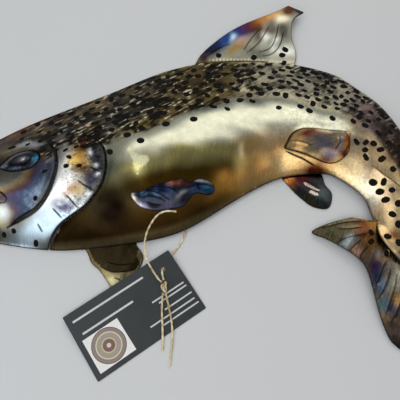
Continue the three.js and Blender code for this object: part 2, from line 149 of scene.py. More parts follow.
def natural_spline(values):
    """A natural cubic curve through values standing one step apart, as a function of
    the step: between two values, their straight mix plus a share of each one's bend."""
    values = np.asarray(values, float)
    count = len(values)
    matrix = 4 * np.eye(count) + np.eye(count, k=1) + np.eye(count, k=-1)
    matrix[0], matrix[-1] = np.eye(count)[0], np.eye(count)[-1]
    pull = np.zeros(values.shape)
    pull[1:-1] = 6 * (values[2:] - 2 * values[1:-1] + values[:-2])
    bend = np.linalg.solve(matrix, pull)

    def curve(step):
        step = np.clip(np.asarray(step, float), 0, count - 1)
        first = np.minimum(step.astype(int), count - 2)
        b = (step - first).reshape(step.shape + (1,) * (values.ndim - 1))
        a = 1 - b
        bent = ((a**3 - a) * bend[first] + (b**3 - b) * bend[first + 1]) / 6
        return a * values[first] + b * values[first + 1] + bent

    return curve


def evenly(points, step, closed=False):
    """Points about a step apart on the smooth curve through places in millimetres. A
    closed curve runs over its own ends, and one full round of it is kept."""
    points = np.array(points, float) * MM
    if closed:
        points = np.concatenate([points[-OVERLAP:], points, points[: OVERLAP + 1]])
    steps = FINE_STEPS * len(points)
    fine = natural_spline(points)(np.linspace(0, len(points) - 1, steps))
    if closed:
        fine = fine[OVERLAP * steps // (len(points) - 1) :]
        back = np.hypot(*(fine[LEAST_ROUND:, :2] - fine[0, :2]).T).argmin() + LEAST_ROUND
        fine = fine[: back + 1]
    run = np.concatenate([[0], np.cumsum(np.linalg.norm(np.diff(fine, axis=0), axis=1))])
    count = max(int(round(run[-1] / step)), 2)
    at = np.linspace(0, run[-1], count + 1)[: count if closed else None]
    return np.stack([np.interp(at, run, fine[:, k]) for k in range(fine.shape[1])], axis=1)


def mesh_piece(name, corners, faces, smooth=True):
    """A mesh object from arrays of corners and of faces."""
    mesh = bpy.data.meshes.new(name)
    mesh.from_pydata(corners.tolist(), [], faces if isinstance(faces, list) else faces.tolist())
    mesh.polygons.foreach_set("use_smooth", np.full(len(mesh.polygons), smooth))
    mesh.update()
    piece = bpy.data.objects.new(name, mesh)
    bpy.context.scene.collection.objects.link(piece)
    return piece


def twisted_tube(name, path, thick, lay, sides, closed=False):
    """A two-lobed section carried along a path while it turns: the radius is half the
    thickness times 0.66 plus 0.34 of how squarely a side faces either ply."""
    along = np.roll(path, -1, 0) - np.roll(path, 1, 0)
    if not closed:
        along[0], along[-1] = path[1] - path[0], path[-1] - path[-2]
    along /= np.linalg.norm(along, axis=1)[:, None]
    side = np.cross(along, (0.13, 0.07, 1.0))
    side /= np.linalg.norm(side, axis=1)[:, None]
    up = np.cross(side, along)
    gaps = np.linalg.norm(np.diff(path, axis=0), axis=1)
    run = np.concatenate([[0], np.cumsum(gaps)])
    angle = np.linspace(0, 2 * np.pi, sides, endpoint=False)
    facing = np.abs(np.cos(angle[None, :] - 2 * np.pi * run[:, None] / (2 * lay)))
    radius = thick / 2 * (0.66 + 0.34 * facing)
    ring = side[:, None] * np.cos(angle)[None, :, None] + up[:, None] * np.sin(angle)[None, :, None]
    corners = (path[:, None] + radius[..., None] * ring).reshape(-1, 3)
    i, j = np.meshgrid(np.arange(len(path) - (not closed)), np.arange(sides), indexing="ij")
    nxt, k = (i + 1) % len(path), (j + 1) % sides
    walls = np.stack([i * sides + j, nxt * sides + j, nxt * sides + k, i * sides + k], -1)
    faces = walls.reshape(-1, 4)[:, ::-1].tolist()
    if not closed:
        last = (len(path) - 1) * sides
        faces += [list(range(sides)), list(range(last + sides - 1, last - 1, -1))]
    piece = mesh_piece(name, corners, faces)
    plies = piece.data.uv_layers.new(name="Ply")
    loops = np.zeros(len(piece.data.loops), np.int32)
    piece.data.loops.foreach_get("vertex_index", loops)
    turn = (angle[None, :] / (2 * np.pi) - run[:, None] / (2 * lay)) * np.ones((len(path), 1))
    place = np.stack([np.repeat(run, sides), turn.ravel()], axis=1)[loops]
    plies.data.foreach_set("uv", place.astype(np.float32).ravel())
    return piece


def hemp_twine():
    """Natural hemp, retted and spun: dull tan fibres with paler and darker strands that
    run along each ply, so it looks streaky and quite matt."""
    material, tree, shader, where = new_finish("natural_hemp_twine")
    fibre_run, fibre_wide = 6 * MM, 0.5 * MM
    along = {"Vector": where.node.outputs["UV"], "Scale": (1 / fibre_run, 5, 1)}
    along = add(tree, "Mapping", along)
    strands = add(tree, "TexNoise", {"Vector": along, "Scale": 1.0, "Detail": 3.0})
    blotch = add(tree, "TexNoise", {"Vector": where, "Scale": 1 / (9 * MM), "Detail": 1.0})
    both = add(tree, "Math", (strands, blotch), operation="ADD")
    mix = {0: add(tree, "MapRange", (both, 0.75, 1.2)), 6: colour(TWINE_DEEP), 7: colour(TWINE_PALE)}
    grit = add(tree, "TexNoise", {"Vector": where, "Scale": 1 / fibre_wide, "Detail": 2.0})
    relief = {"Height": grit, "Strength": 0.6, "Distance": 0.15 * MM}
    feed(tree, shader, {
        "Base Color": add(tree, "Mix", mix, data_type="RGBA"),
        "Normal": add(tree, "Bump", relief), "Roughness": 0.85, "Sheen Weight": 0.3,
    })
    return material


hemp = hemp_twine()
lying = np.linspace(0, 2 * np.pi, 240, endpoint=False)
overhand = np.stack(
    [
        (np.cos(lying) - 2 * np.cos(2 * lying)) / 3,
        (np.sin(lying) + 2 * np.sin(2 * lying)) / 2.7,
        -np.sin(3 * lying),
    ],
    axis=1,
)
knot = twisted_tube(
    "knot_of_twine", KNOT_PLACE + overhand * (KNOT_HALF - TWINE_THICK / 2), TWINE_THICK,
    TWINE_LAY, TWINE_SIDES, closed=True,
)
hand_over(knot, ["twine_knot"], [hemp])

for twine_node, route in TWINE_ROUTES.items():
    path = evenly(route, TWINE_STEP)
    strand = twisted_tube(
        twine_node.replace("twine", "strand"), path, TWINE_THICK, TWINE_LAY, TWINE_SIDES
    )
    hand_over(strand, [twine_node], [hemp])

# ---- Steel plates ----
# Every steel piece is cut from flat sheet with a plasma torch, so it is made the same
# way here: an outline and its slits and holes in plan, filled with an even mesh, then
# lifted to the beaten height, given its thickness and a narrow melted edge.
BODY_SHEET = 1.6 * MM
FIN_SHEET = 1.2 * MM
MELTED_EDGE = 0.28 * MM
BODY_GRAIN = 1.6 * MM
FIN_GRAIN = 1.2 * MM
SMALL_STEP = 1.5 * MM
GRID_ROW = 0.866              # from one row of a triangular grid to the next, in steps
GRID_JITTER = 0.12            # how far a point strays, in steps
EDGE_CLEAR = 0.55             # how near a point may come to a cut, in steps
BATCH = 1000                  # points worked out at a time


def inside(points, polygon):
    """Which points lie in a polygon: those whose ray towards +X crosses it an odd
    number of times."""
    a, b = polygon, np.roll(polygon, -1, 0)
    found = np.zeros(len(points), bool)
    low, high = polygon.min(0), polygon.max(0)
    near = np.flatnonzero(((points >= low) & (points <= high)).all(1))
    for chunk in np.array_split(near, max(len(near) // BATCH, 1)):
        x, y = points[chunk, 0][:, None], points[chunk, 1][:, None]
        spans = (a[None, :, 1] > y) != (b[None, :, 1] > y)
        rise = np.where(b[:, 1] == a[:, 1], 1e-12, b[:, 1] - a[:, 1])
        cross = a[:, 0] + (y - a[:, 1]) * (b[:, 0] - a[:, 0]) / rise
        found[chunk] = (spans & (x < cross)).sum(1) % 2 == 1
    return found


def distance(points, others):
    """Distance from each point to the nearest of the others."""
    parts = [
        np.sqrt(((chunk[:, None] - others[None]) ** 2).sum(2).min(1))
        for chunk in np.array_split(points, max(len(points) // BATCH, 1))
    ]
    return np.concatenate(parts)


def slit(points, width, step=1.0 * MM):
    """The outline of a slit along a smooth line: an even width that narrows to a quarter
    over the last tenth at both ends."""
    line = evenly(points, step)
    along = np.gradient(line, axis=0)
    along /= np.linalg.norm(along, axis=1)[:, None]
    across = np.stack([-along[:, 1], along[:, 0]], axis=1)
    share = np.linspace(0, 1, len(line))
    half = width / 2 * np.clip(np.minimum(share, 1 - share) * 9, 0.25, 1)[:, None]
    return np.concatenate([line + across * half, (line - across * half)[::-1]])


def round_hole(x, y, radius, rng, sides=14):
    """A blown spot or hole: a circle that is slightly uneven, and one in three is drawn
    out to an oval."""
    angle = np.linspace(0, 2 * np.pi, sides, endpoint=False)
    stretch = rng.choice([0.06, 0.10, 0.24])
    uneven = radius * (1 + stretch * np.cos(2 * (angle - rng.uniform(0, 6.3))))
    return np.stack([x + uneven * np.cos(angle), y + uneven * np.sin(angle)], axis=1)


def cut_flat(outline, holes, grain, seed):
    """Flat plan of a plate: a jittered triangular grid inside the outline and clear of
    the holes, joined by a constrained Delaunay mesh, with the holes' triangles left out."""
    rng = np.random.default_rng(seed)
    low, high = outline.min(0), outline.max(0)
    rows = np.arange(low[1], high[1], grain * GRID_ROW)
    columns = np.arange(low[0], high[0], grain)
    x, y = np.meshgrid(columns, rows)
    x = x + (np.arange(len(rows)) % 2)[:, None] * grain / 2
    grid = np.stack([x.ravel(), y.ravel()], axis=1)
    grid += rng.uniform(-GRID_JITTER, GRID_JITTER, grid.shape) * grain
    loops = [outline, *holes]
    edge = np.concatenate(loops)
    grid = grid[inside(grid, outline)]
    grid = grid[distance(grid, edge) > EDGE_CLEAR * grain]
    for hole in holes:
        grid = grid[~inside(grid, hole)]
    starts = np.cumsum([0] + [len(loop) for loop in loops[:-1]])
    segments = [
        (start + i, start + (i + 1) % len(loop))
        for start, loop in zip(starts.tolist(), loops)
        for i in range(len(loop))
    ]
    # The mesher wants sizes near 1, so it is given millimetres.
    plan = (np.concatenate([edge, grid]) / MM).tolist()
    plan, _, triangles, *_ = delaunay_2d_cdt(plan, segments, [], 0, 1e-4, False)
    plan = np.array([tuple(p) for p in plan]) * MM
    triangles = np.array(triangles)
    middle = plan[triangles].mean(1)
    keep = inside(middle, outline)
    for hole in holes:
        keep &= ~inside(middle, hole)
    triangles = triangles[keep]
    a, b, c = plan[triangles].transpose(1, 0, 2)
    turn = (b - a)[:, 0] * (c - a)[:, 1] - (b - a)[:, 1] * (c - a)[:, 0]
    triangles = triangles[np.abs(turn) > 1e-12]
    turn = turn[np.abs(turn) > 1e-12]
    triangles[turn < 0] = triangles[turn < 0][:, ::-1]
    used = np.unique(triangles)
    number = np.full(len(plan), -1)
    number[used] = np.arange(len(used))
    return plan[used], number[triangles]


def plate(name, plan, triangles, height, thick, finish, tones, melted=MELTED_EDGE, put=None):
    """A plate from its flat plan and a height for each point. The top follows the
    height, a narrow chamfer and a straight wall run down its edges, and the underside
    lies straight below. tones are attributes of the finish, one value for each point,
    and put moves the finished corners."""
    edges = np.concatenate([triangles[:, [0, 1]], triangles[:, [1, 2]], triangles[:, [2, 0]]])
    code = edges.min(1) * len(plan) + edges.max(1)
    _, first, times = np.unique(code, return_index=True, return_counts=True)
    rim = edges[first[times == 1]]
    a, b = plan[rim[:, 0]], plan[rim[:, 1]]
    out = np.stack([(b - a)[:, 1], -(b - a)[:, 0]], axis=1)
    out /= np.linalg.norm(out, axis=1)[:, None] + 1e-12
    push = np.zeros(plan.shape)
    np.add.at(push, rim[:, 0], out)
    np.add.at(push, rim[:, 1], out)
    push /= np.linalg.norm(push, axis=1)[:, None] + 1e-12
    on_rim = np.unique(rim)
    count = len(plan)
    number = np.full(count, -1)
    number[on_rim] = 2 * count + np.arange(len(on_rim))
    wide = plan + push * melted
    top = np.column_stack([plan, height])
    bottom = np.column_stack([wide, np.maximum(height - thick, 0)])
    lip = np.column_stack([wide, height - melted])[on_rim]
    corners = np.concatenate([top, bottom, lip])
    if put:
        corners = put(corners)
    i, j = rim.T
    chamfer = np.stack([j, i, number[i], number[j]], axis=1)
    wall = np.stack([number[j], number[i], i + count, j + count], axis=1)
    under = triangles[:, ::-1] + count
    faces = triangles.tolist() + under.tolist() + chamfer.tolist() + wall.tolist()
    piece = mesh_piece(name, corners, faces)
    mesh = piece.data
    for material in finish:
        mesh.materials.append(material)
    kinds = np.repeat([0, 1, 0, 1], [len(triangles), len(triangles), len(rim), len(rim)])
    mesh.polygons.foreach_set("material_index", kinds.astype(np.int32))
    ends = np.zeros(2 * len(mesh.edges), np.int32)
    mesh.edges.foreach_get("vertices", ends)
    low, high = np.sort(ends.reshape(-1, 2), axis=1).T
    is_rim = np.zeros(len(corners), bool)
    is_rim[on_rim] = True
    is_rim[on_rim + count] = True
    is_rim[2 * count :] = True
    sharp = is_rim[low] & is_rim[high] & ((low < count) == (high < count))
    mesh.attributes.new("sharp_edge", "BOOLEAN", "EDGE").data.foreach_set("value", sharp)
    for key, values in tones.items():
        spread = np.concatenate([values, values, values[on_rim]]).astype(np.float32)
        if values.ndim == 1:
            mesh.attributes.new(key, "FLOAT", "POINT").data.foreach_set("value", spread)
        else:
            spread = np.column_stack([spread, np.ones(len(spread), np.float32)])
            paint = mesh.attributes.new(key, "FLOAT_COLOR", "POINT")
            paint.data.foreach_set("color", spread.ravel())
    return piece


def smooth(value, start, end):
    """0 before start, 1 after end, and an S-curve between them."""
    share = np.clip((value - start) / (end - start), 0, 1)
    return share * share * (3 - 2 * share)


def beaten(x, y, size, seed, waves=22):
    """An even random field of about -1 to 1 with bumps of a given size: the mean of
    cosine waves in random directions, with wavelengths from 1.4 to 3 times the size."""
    rng = np.random.default_rng(seed)
    turn = rng.uniform(0, 2 * np.pi, waves)
    pitch = 2 * np.pi / (size * rng.uniform(1.4, 3.0, waves))
    phase = rng.uniform(0, 2 * np.pi, waves)
    across = np.outer(x, np.cos(turn)) + np.outer(y, np.sin(turn))
    return np.cos(across * pitch + phase).sum(1) / math.sqrt(waves)


def cloud(x, y, place, radii, turn=0.0):
    """A soft oval patch: 1 in the middle, falling as a bell curve over its radii."""
    c, s = math.cos(math.radians(turn)), math.sin(math.radians(turn))
    dx, dy = x - place[0] * MM, y - place[1] * MM
    u = (dx * c + dy * s) / (radii[0] * MM)
    v = (dy * c - dx * s) / (radii[1] * MM)
    return np.exp(-(u * u + v * v))


def lay_on(tone, code, share):
    """Blends a hex colour over the tone by a share for each point."""
    return tone + np.clip(share, 0, 1)[:, None] * (linear(code) - tone)


def colour_clouds(tone, x, y, clouds):
    """Lays soft patches over a tone, or over one colour for the whole sheet. Each is a
    colour, place, radii, turn and strength."""
    for code, place, radii, turn, strength in clouds:
        tone = lay_on(tone, code, strength * cloud(x, y, place, radii, turn))
    return tone


def torch_heat(x, y, passes):
    """Torch heat from 0 to 1: the hottest of the passes, each a place, radii, a turn and
    how hot its middle got."""
    heat = np.zeros(len(x))
    for place, radii, turn, peak in passes:
        heat = np.maximum(heat, peak * cloud(x, y, place, radii, turn))
    return heat


def lips(plan, lines):
    """Height added beside cut lines, each with a rise and a reach in millimetres: on its
    left the sheet is turned up (or down, where the rise is negative), most at the cut
    and falling as a square to nothing at the reach, and less towards the line's ends."""
    added = np.zeros(len(plan))
    for points, rise, reach in lines:
        rise, reach = rise * MM, reach * MM
        line = evenly(points, SMALL_STEP)
        ahead = np.diff(line, axis=0)
        low, high = line.min(0) - reach, line.max(0) + reach
        near = np.flatnonzero(((plan >= low) & (plan <= high)).all(1))
        if not len(near):
            continue
        gap = plan[near][:, None] - (line[:-1] + ahead / 2)[None]
        closest = (gap**2).sum(2).argmin(1)
        from_line = gap[np.arange(len(near)), closest]
        way = ahead[closest]
        side = way[:, 0] * from_line[:, 1] - way[:, 1] * from_line[:, 0]
        far = np.abs(side) / np.linalg.norm(way, axis=1)
        far = np.maximum(far, np.linalg.norm(from_line, axis=1) - 2 * MM)
        share = closest / (len(ahead) - 1)
        fade = smooth(np.minimum(share, 1 - share), 0, 0.18)
        fall = np.clip(1 - far / reach, 0, 1) ** 2
        added[near] += np.where(side > 0, rise * fall * fade, 0)
    return added


# The finish of the steel: ground bright, heated with a torch until the bare metal runs
# through straw, gold, bronze, purple and blue, and sealed under clear lacquer.
TEMPER = [
    (0.00, "#d8d4c6"),
    (0.15, "#b9ad84"),
    (0.28, "#a07c46"),
    (0.40, "#65452a"),
    (0.50, "#4b3036"),
    (0.60, "#3b3350"),
    (0.70, "#303f5c"),
    (0.83, "#677c90"),
    (1.00, "#aab4b6"),
]
PATINA_DARK = "#110e08"
FLECK = "#d8cdb2"
BURNT = "#15110c"


def torched_steel(name, brush_turn, roughness, brush_deep=1.0):
    """Brushed mild steel with temper colours under lacquer. Point attributes colour it:
    tone is the ground metal with its painted highlights and shade, and the khaki where it
    was blackened, torch is the heat's, with a painted highlight along the cheek slit, patina
    how far the blackening runs, speckle how much fine noise breaks the colour up, and edge
    the metres from a cut. Brush lines streak the colour, gloss and relief."""
    material, tree, shader, where = new_finish(name)
    tone = add(tree, "Attribute", attribute_name="tone")
    torch, patina, speckle, edge = (
        add(tree, "Attribute", attribute_name=key).node.outputs["Fac"]
        for key in ("torch", "patina", "speckle", "edge")
    )
    # Brush lines, 0.9 mm wide and 22 mm long, drawn wider than real so that they show,
    # and the grinder's strokes on the blackened back, 2.6 mm wide and 10 mm long.
    brush, stroke = (
        add(tree, "TexNoise", {
            "Vector": add(tree, "Mapping", {
                "Vector": where, "Rotation": (0, 0, math.radians(turn)), "Scale": (long, wide, long),
            }, vector_type="TEXTURE"),
            "Scale": 1.0, "Detail": detail,
        })
        for turn, long, wide, detail in (
            (brush_turn, 22 * MM, 0.9 * MM, 3.0), (36, 10 * MM, 2.6 * MM, 1.0),
        )
    )
    mottle, grain, patch = (
        add(tree, "TexNoise", {"Vector": where, "Scale": 1 / size, "Detail": detail, "Roughness": rough})
        for size, detail, rough in ((7 * MM, 4.0, 0.62), (2.4 * MM, 3.0, 0.7), (17 * MM, 4.0, 0.62))
    )

    # The rings of a torch pass wander, and where it was speckled they break up.
    stray = add(tree, "Math", (mottle, 0.24, -0.12), operation="MULTIPLY_ADD")
    broken = add(tree, "Math", (grain, 1.3, -0.65), operation="MULTIPLY_ADD")
    broken = add(tree, "Math", (broken, speckle, stray), operation="MULTIPLY_ADD")
    starts = add(tree, "MapRange", (torch, 0, 0.12))
    hot = add(tree, "Math", (broken, starts, torch), operation="MULTIPLY_ADD")
    temper = add(tree, "ValToRGB", (hot,))
    steps = temper.node.color_ramp.elements
    for share, _ in TEMPER[1:-1]:
        steps.new(share)
    for step, (_, code) in zip(steps, TEMPER):
        step.color = colour(code)
    shows = add(tree, "MapRange", (hot, 0.08, 0.5, 0, 0.88))
    warm = add(tree, "Mix", {0: shows, 6: tone, 7: temper}, data_type="RGBA")

    # The blackened back: khaki under dark blotches, cut through by bright strokes.
    patch = add(tree, "Math", (stroke, 0.5, patch), operation="MULTIPLY_ADD")
    khaki = add(tree, "MapRange", (patch, 0.67, 0.82))
    back = add(tree, "Mix", {0: khaki, 6: colour(PATINA_DARK), 7: tone}, data_type="RGBA")
    bright = add(tree, "MapRange", (stroke, 0.56, 0.64, 0, 0.85))
    for share, low, high in ((mottle, 0.47, 0.56), (patina, 0.55, 0.95)):
        share = add(tree, "MapRange", (share, low, high))
        bright = add(tree, "Math", (bright, share), operation="MULTIPLY")
    back = add(tree, "Mix", {0: bright, 6: back, 7: colour(FLECK)}, data_type="RGBA")
    ragged = add(tree, "Math", (stroke, 0.7, -0.35), operation="MULTIPLY_ADD")
    ragged = add(tree, "Math", (ragged, patina), operation="ADD")
    ragged = add(tree, "MapRange", (ragged, 0.25, 0.70), interpolation_type="SMOOTHSTEP")
    metal = add(tree, "Mix", {0: ragged, 6: warm, 7: back}, data_type="RGBA")

    streak = (brush, 0.3, 0.7, 1 - 0.24 * brush_deep, 1 + 0.12 * brush_deep)
    cloudy = add(tree, "MapRange", (mottle, 0.25, 0.75, 0.8, 1.12))
    shade = add(tree, "Math", (add(tree, "MapRange", streak), cloudy), operation="MULTIPLY")
    pits = add(tree, "Math", (grain, 4.0, -2.0), operation="MULTIPLY_ADD")
    pits = add(tree, "Math", (pits, speckle, 1.0), operation="MULTIPLY_ADD")
    shade = add(tree, "Math", (shade, pits), operation="MULTIPLY")
    shaded = add(tree, "VectorMath", {0: metal, "Scale": shade}, operation="SCALE")
    # A torch cut leaves the last half millimetre burnt.
    burn = add(tree, "MapRange", (edge, 0.15 * MM, 0.8 * MM, 0.6, 0))
    burnt = add(tree, "Mix", {0: burn, 6: shaded, 7: colour(BURNT)}, data_type="RGBA")

    dull = (brush, 0.3, 0.7, roughness - 0.12 * brush_deep, roughness + 0.12 * brush_deep)
    dull = add(tree, "Math", (ragged, 0.14, add(tree, "MapRange", dull)), operation="MULTIPLY_ADD")
    uneven = add(tree, "Math", (brush, grain), operation="ADD")
    relief = {"Height": uneven, "Strength": 0.1 + 0.3 * brush_deep, "Distance": 0.05 * MM}
    feed(tree, shader, {
        "Base Color": burnt, "Roughness": dull, "Normal": add(tree, "Bump", relief),
        "Metallic": 1.0, "Coat Weight": 0.03, "Coat Roughness": 0.1,
    })
    return material


def mill_scale():
    """Hot-rolled mild steel as it comes from the mill: a blue-grey oxide skin, dull and
    blotched with brown, left on the underside and on the torch-cut walls."""
    material, tree, shader, where = new_finish("dark_mill_scale")
    blotch = add(tree, "TexNoise", {"Vector": where, "Scale": 1 / (6 * MM), "Detail": 5.0})
    mix = {0: add(tree, "MapRange", (blotch, 0.4, 0.7)), 6: colour("#191a1c"), 7: colour("#221811")}
    mix = add(tree, "Mix", mix, data_type="RGBA")
    feed(tree, shader, {"Base Color": mix, "Metallic": 0.5, "Roughness": 0.65})
    return material


scale_finish = mill_scale()


def steel_piece(name, plan, triangles, height, thick, finish, slot, nodes, cuts, **tones):
    """A steel plate with its finish and nodes, coloured by how far each point is from the
    cuts and by its tones. Each is one number or one for each point, and nought if it isn't
    given. slot is not used."""
    kept = {key: tones.get(key, 0) + np.zeros(len(plan)) for key in ("torch", "patina", "speckle")}
    kept |= {"tone": tones["tone"], "edge": distance(plan, cuts)}
    piece = plate(name, plan, triangles, height, thick, [finish, scale_finish], kept)
    hand_over(piece, nodes)


# ---- Body ----
# One sheet of steel from snout to tail root, beaten into a hollow dome that lies on its
# rim, with the dorsal and adipose fins left on it. Mouth, cheek, gill cover and fin base
# are slits that a torch cut, and the spots are holes that it blew, each with a black
# floor under it as painted shade.

# Ribs from snout to tail: back edge x, y; belly edge x, y; rise of the dome over the
# edges; height of the back edge and of the belly edge off the table.
RIBS = MM * np.array(
    [
        (-194, -21, -194, -29, 5, -0.5, -0.5),
        (-191, -4, -188, -38, 12, -0.5, -0.5),
        (-176, 12, -172, -51, 18, -0.5, -0.5),
        (-154, 28, -151, -59.5, 22, -0.5, -0.5),
        (-126, 44.5, -124, -64.5, 24, -0.5, -0.5),
        (-91, 61.5, -93, -67.5, 25, -0.5, 0.5),
        (-56, 78.5, -62, -65.5, 25, -0.5, 2),
        (-21, 96, -30, -61, 24, -0.5, 2.6),
        (14, 106, 0, -53, 23, -0.5, 3.3),
        (49, 109.5, 28, -36.5, 22, -0.5, 3.5),
        (82, 108, 52, -21, 21, -0.5, 3),
        (110, 102.5, 76, -9, 19, -0.5, 3),
        (135, 92.5, 96, -5.2, 17, 1, 3.5),
        (153, 76, 115, -5, 14.5, 3, 4.5),
        (166, 60, 127, -11, 12.5, 6, 5.5),
        (175, 41, 135.8, -18.4, 11, 9, 6),
        (181.5, 22, 142, -25.5, 10, 11, 6),
        (186, 1, 144, -29.5, 9, 12, 6),
        (188, -22, 145, -33.5, 8, 12, 6),
        (187, -45, 145.8, -38, 7.5, 12, 6),
        (181, -68, 146.8, -42.5, 7, 11, 6.5),
        (170, -88, 148.5, -47, 6.5, 9.5, 7),
    ]
)
LAST_RIB = len(RIBS) - 1
# Where the sheet was hammered from behind or in front: place x, y, radius and rise.
HAMMER_MARKS = [
    (-134, 24, 20, -0.6), (-118, -34, 15, 0.6), (-90, 36, 22, 0.7), (-84, -26, 17, 0.8),
    (-48, -6, 14, -1.0), (-32, 74, 20, 0.8), (-22, 34, 20, 0.8), (8, 70, 20, -0.9),
    (10, 10, 20, -0.6), (42, 36, 22, 0.8), (38, 86, 18, 0.9), (66, 68, 18, -0.8),
    (72, 26, 15, -0.7), (96, 70, 20, 0.9), (100, 42, 14, -0.4), (126, 62, 16, -0.8),
    (150, 28, 16, 0.8), (152, 0, 14, -0.6), (164, -34, 14, 0.5),
]
CROWN_SHIFT = -0.15
CROWN_ROUND = 0.4
RIB_LINES = 421               # lines that a point's place is looked for between
PAST_EDGE = 2.2               # how far out a rib line is followed, in half ribs
NO_LINE = 99
rib_at = natural_spline(RIBS)


def dome_profile(across):
    """Rise of the dome, 0 to 1, across a rib from -1 (belly) to 1 (back): a parabola
    on the belly side of the crown, and a rounded straight fall on the back side."""
    down = (CROWN_SHIFT - across) / (1 + CROWN_SHIFT)
    up = (across - CROWN_SHIFT) / (1 - CROWN_SHIFT)
    fall = (np.hypot(up, CROWN_ROUND) - CROWN_ROUND) / (math.hypot(1, CROWN_ROUND) - CROWN_ROUND)
    return np.where(across < CROWN_SHIFT, 1 - down**2, 1 - fall)


def body_place(x, y):
    """Rib number and place across it for points in plan: the rib line whose side the
    point changes, and the point's share of the way over it."""
    steps = np.linspace(0, LAST_RIB, RIB_LINES)
    back, belly = rib_at(steps)[:, 0:2], rib_at(steps)[:, 2:4]
    way = back - belly
    rib, across = np.zeros(len(x)), np.zeros(len(x))
    for chunk in np.array_split(np.arange(len(x)), max(len(x) // BATCH, 1)):
        dx = x[chunk][:, None] - belly[None, :, 0]
        dy = y[chunk][:, None] - belly[None, :, 1]
        side = way[:, 0] * dy - way[:, 1] * dx
        share = 2 * (dx * way[:, 0] + dy * way[:, 1]) / (way**2).sum(1) - 1
        turns = (side[:, :-1] * side[:, 1:] <= 0) & (np.abs(share[:, :-1]) < PAST_EDGE)
        cost = np.where(turns, np.abs(share[:, :-1]), NO_LINE)
        pick = cost.argmin(1)
        row = np.arange(len(chunk))
        s0, s1 = side[row, pick], side[row, pick + 1]
        part = np.clip(s0 / (s0 - s1 + 1e-15), 0, 1)
        found = cost[row, pick] < NO_LINE
        end = np.abs(side).argmin(1)
        spacing = steps[1] - steps[0]
        rib[chunk] = np.where(found, steps[pick] + part * spacing, steps[end])
        here = share[row, pick] + part * (share[row, pick + 1] - share[row, pick])
        across[chunk] = np.where(found, here, share[row, end])
    return rib, across


def hammered(x, y, across):
    """Rise of the hammered sheet: a bell for each mark, and none at the body's edges."""
    rise = sum(
        depth * MM * cloud(x, y, (mark_x, mark_y), (radius, radius))
        for mark_x, mark_y, radius, depth in HAMMER_MARKS
    )
    return rise * (1 - np.clip(across, -1, 1) ** 4)


def dome_height(x, y):
    """Height of the body's outer surface: the edges' heights mixed across the rib, the
    sheet's thickness, the crown times the profile, and the hammered rise."""
    rib, across = body_place(x, y)
    _, _, _, _, crown, back_rise, belly_rise = rib_at(rib).T
    share = (np.clip(across, -1, 1) + 1) / 2
    rest = belly_rise + (back_rise - belly_rise) * share
    domed = crown * dome_profile(across)
    return rest + BODY_SHEET + domed + hammered(x, y, across), rib, across


def edge_run(first, last, side, count):
    """Points of the back (side 1) or belly (side -1) edge between two rib numbers."""
    at = rib_at(np.linspace(first, last, count))
    return at[:, 0:2] if side > 0 else at[:, 2:4]


DORSAL = [
    (9.8, 105.2), (15, 115.5), (26, 127), (41, 139), (61, 151), (79, 160), (91, 166), (99, 170.6),
    (111, 161), (104, 156.6), (100.2, 151), (98.7, 144), (98.2, 133), (100.2, 125), (101.3, 115),
    (99.4, 105.6),
]
DORSAL_TIP = 8                # places along the front edge; the others run down the back one
DORSAL_RIBS = (7.88, 10.62)
ADIPOSE = [(182, 20), (187.5, 14), (191.5, 3), (194.8, -11), (194.4, -17), (190, -12), (187, -6)]
ADIPOSE_RIBS = (16.1, 17.5)
TAIL_END = [
    (170, -88), (163, -83), (156, -75), (150.5, -67), (147.6, -60), (147.6, -53), (148.5, -47),
]

outline = np.concatenate(
    [
        edge_run(0, DORSAL_RIBS[0], 1, 130)[:-1],
        evenly(DORSAL[:DORSAL_TIP], BODY_GRAIN)[:-1],
        evenly(DORSAL[DORSAL_TIP:], BODY_GRAIN)[:-1],
        edge_run(DORSAL_RIBS[1], ADIPOSE_RIBS[0], 1, 60)[:-1],
        evenly(ADIPOSE, SMALL_STEP),
        edge_run(ADIPOSE_RIBS[1], LAST_RIB, 1, 50)[:-1],
        evenly(TAIL_END, SMALL_STEP)[:-1],
        edge_run(LAST_RIB, 0, -1, 260)[:-1],
    ]
)

# The lines that the torch followed, in millimetres. Their slits' widths stand below.
MOUTH = [(-205, -33), (-185, -40), (-167, -42), (-150, -39), (-131, -36.5)]
JAW_TOP = [(-184, -33), (-165, -32), (-148, -27), (-137, -28), (-130, -33), (-131, -36.5)]
CHEEK_BACK = [(-107, 16), (-97, 2), (-95, -17), (-103, -37), (-118, -47), (-131, -53)]
GILL_EDGE = [
    (-69, 17), (-60, 6), (-57, -10), (-60, -25), (-72, -40), (-90, -52), (-100, -66), (-104, -80),
]
GILL_TICKS = [
    [(-69, -10), (-61, -14)],
    [(-77, -21), (-71, -25), (-65, -28)],
    [(-85, -32), (-77, -40)],
    [(-95, -41), (-89, -47)],
    [(-107, -51), (-104, -56)],
]
DORSAL_BASE = [(26, 107.4), (50, 108.4), (76, 108.4)]
DORSAL_RAYS = [
    [(54, 120), (56, 123), (64, 136), (71, 144)],
    [(57, 117), (66, 125), (72, 134), (78, 146)],
    [(68, 118), (78, 122), (84, 134), (87, 148)],
    [(71, 114), (79, 116), (87, 125), (91, 139)],
]
DORSAL_FRONT = [(18, 112.5), (32, 122.5), (41, 126)]
PELVIC_BELOW = [(82, 9.4), (90, 6.7), (96.3, 4.6), (101.9, 1.8), (105.9, 0.1)]
PELVIC_ABOVE = [(83.5, 17), (86, 21), (92, 25.4), (100, 27.2), (109, 26.6), (119, 25.2), (133, 25)]
STEM_SLIT = [(148, -4), (151, -7), (154, -11), (159, -16), (168, -25), (176, -36)]

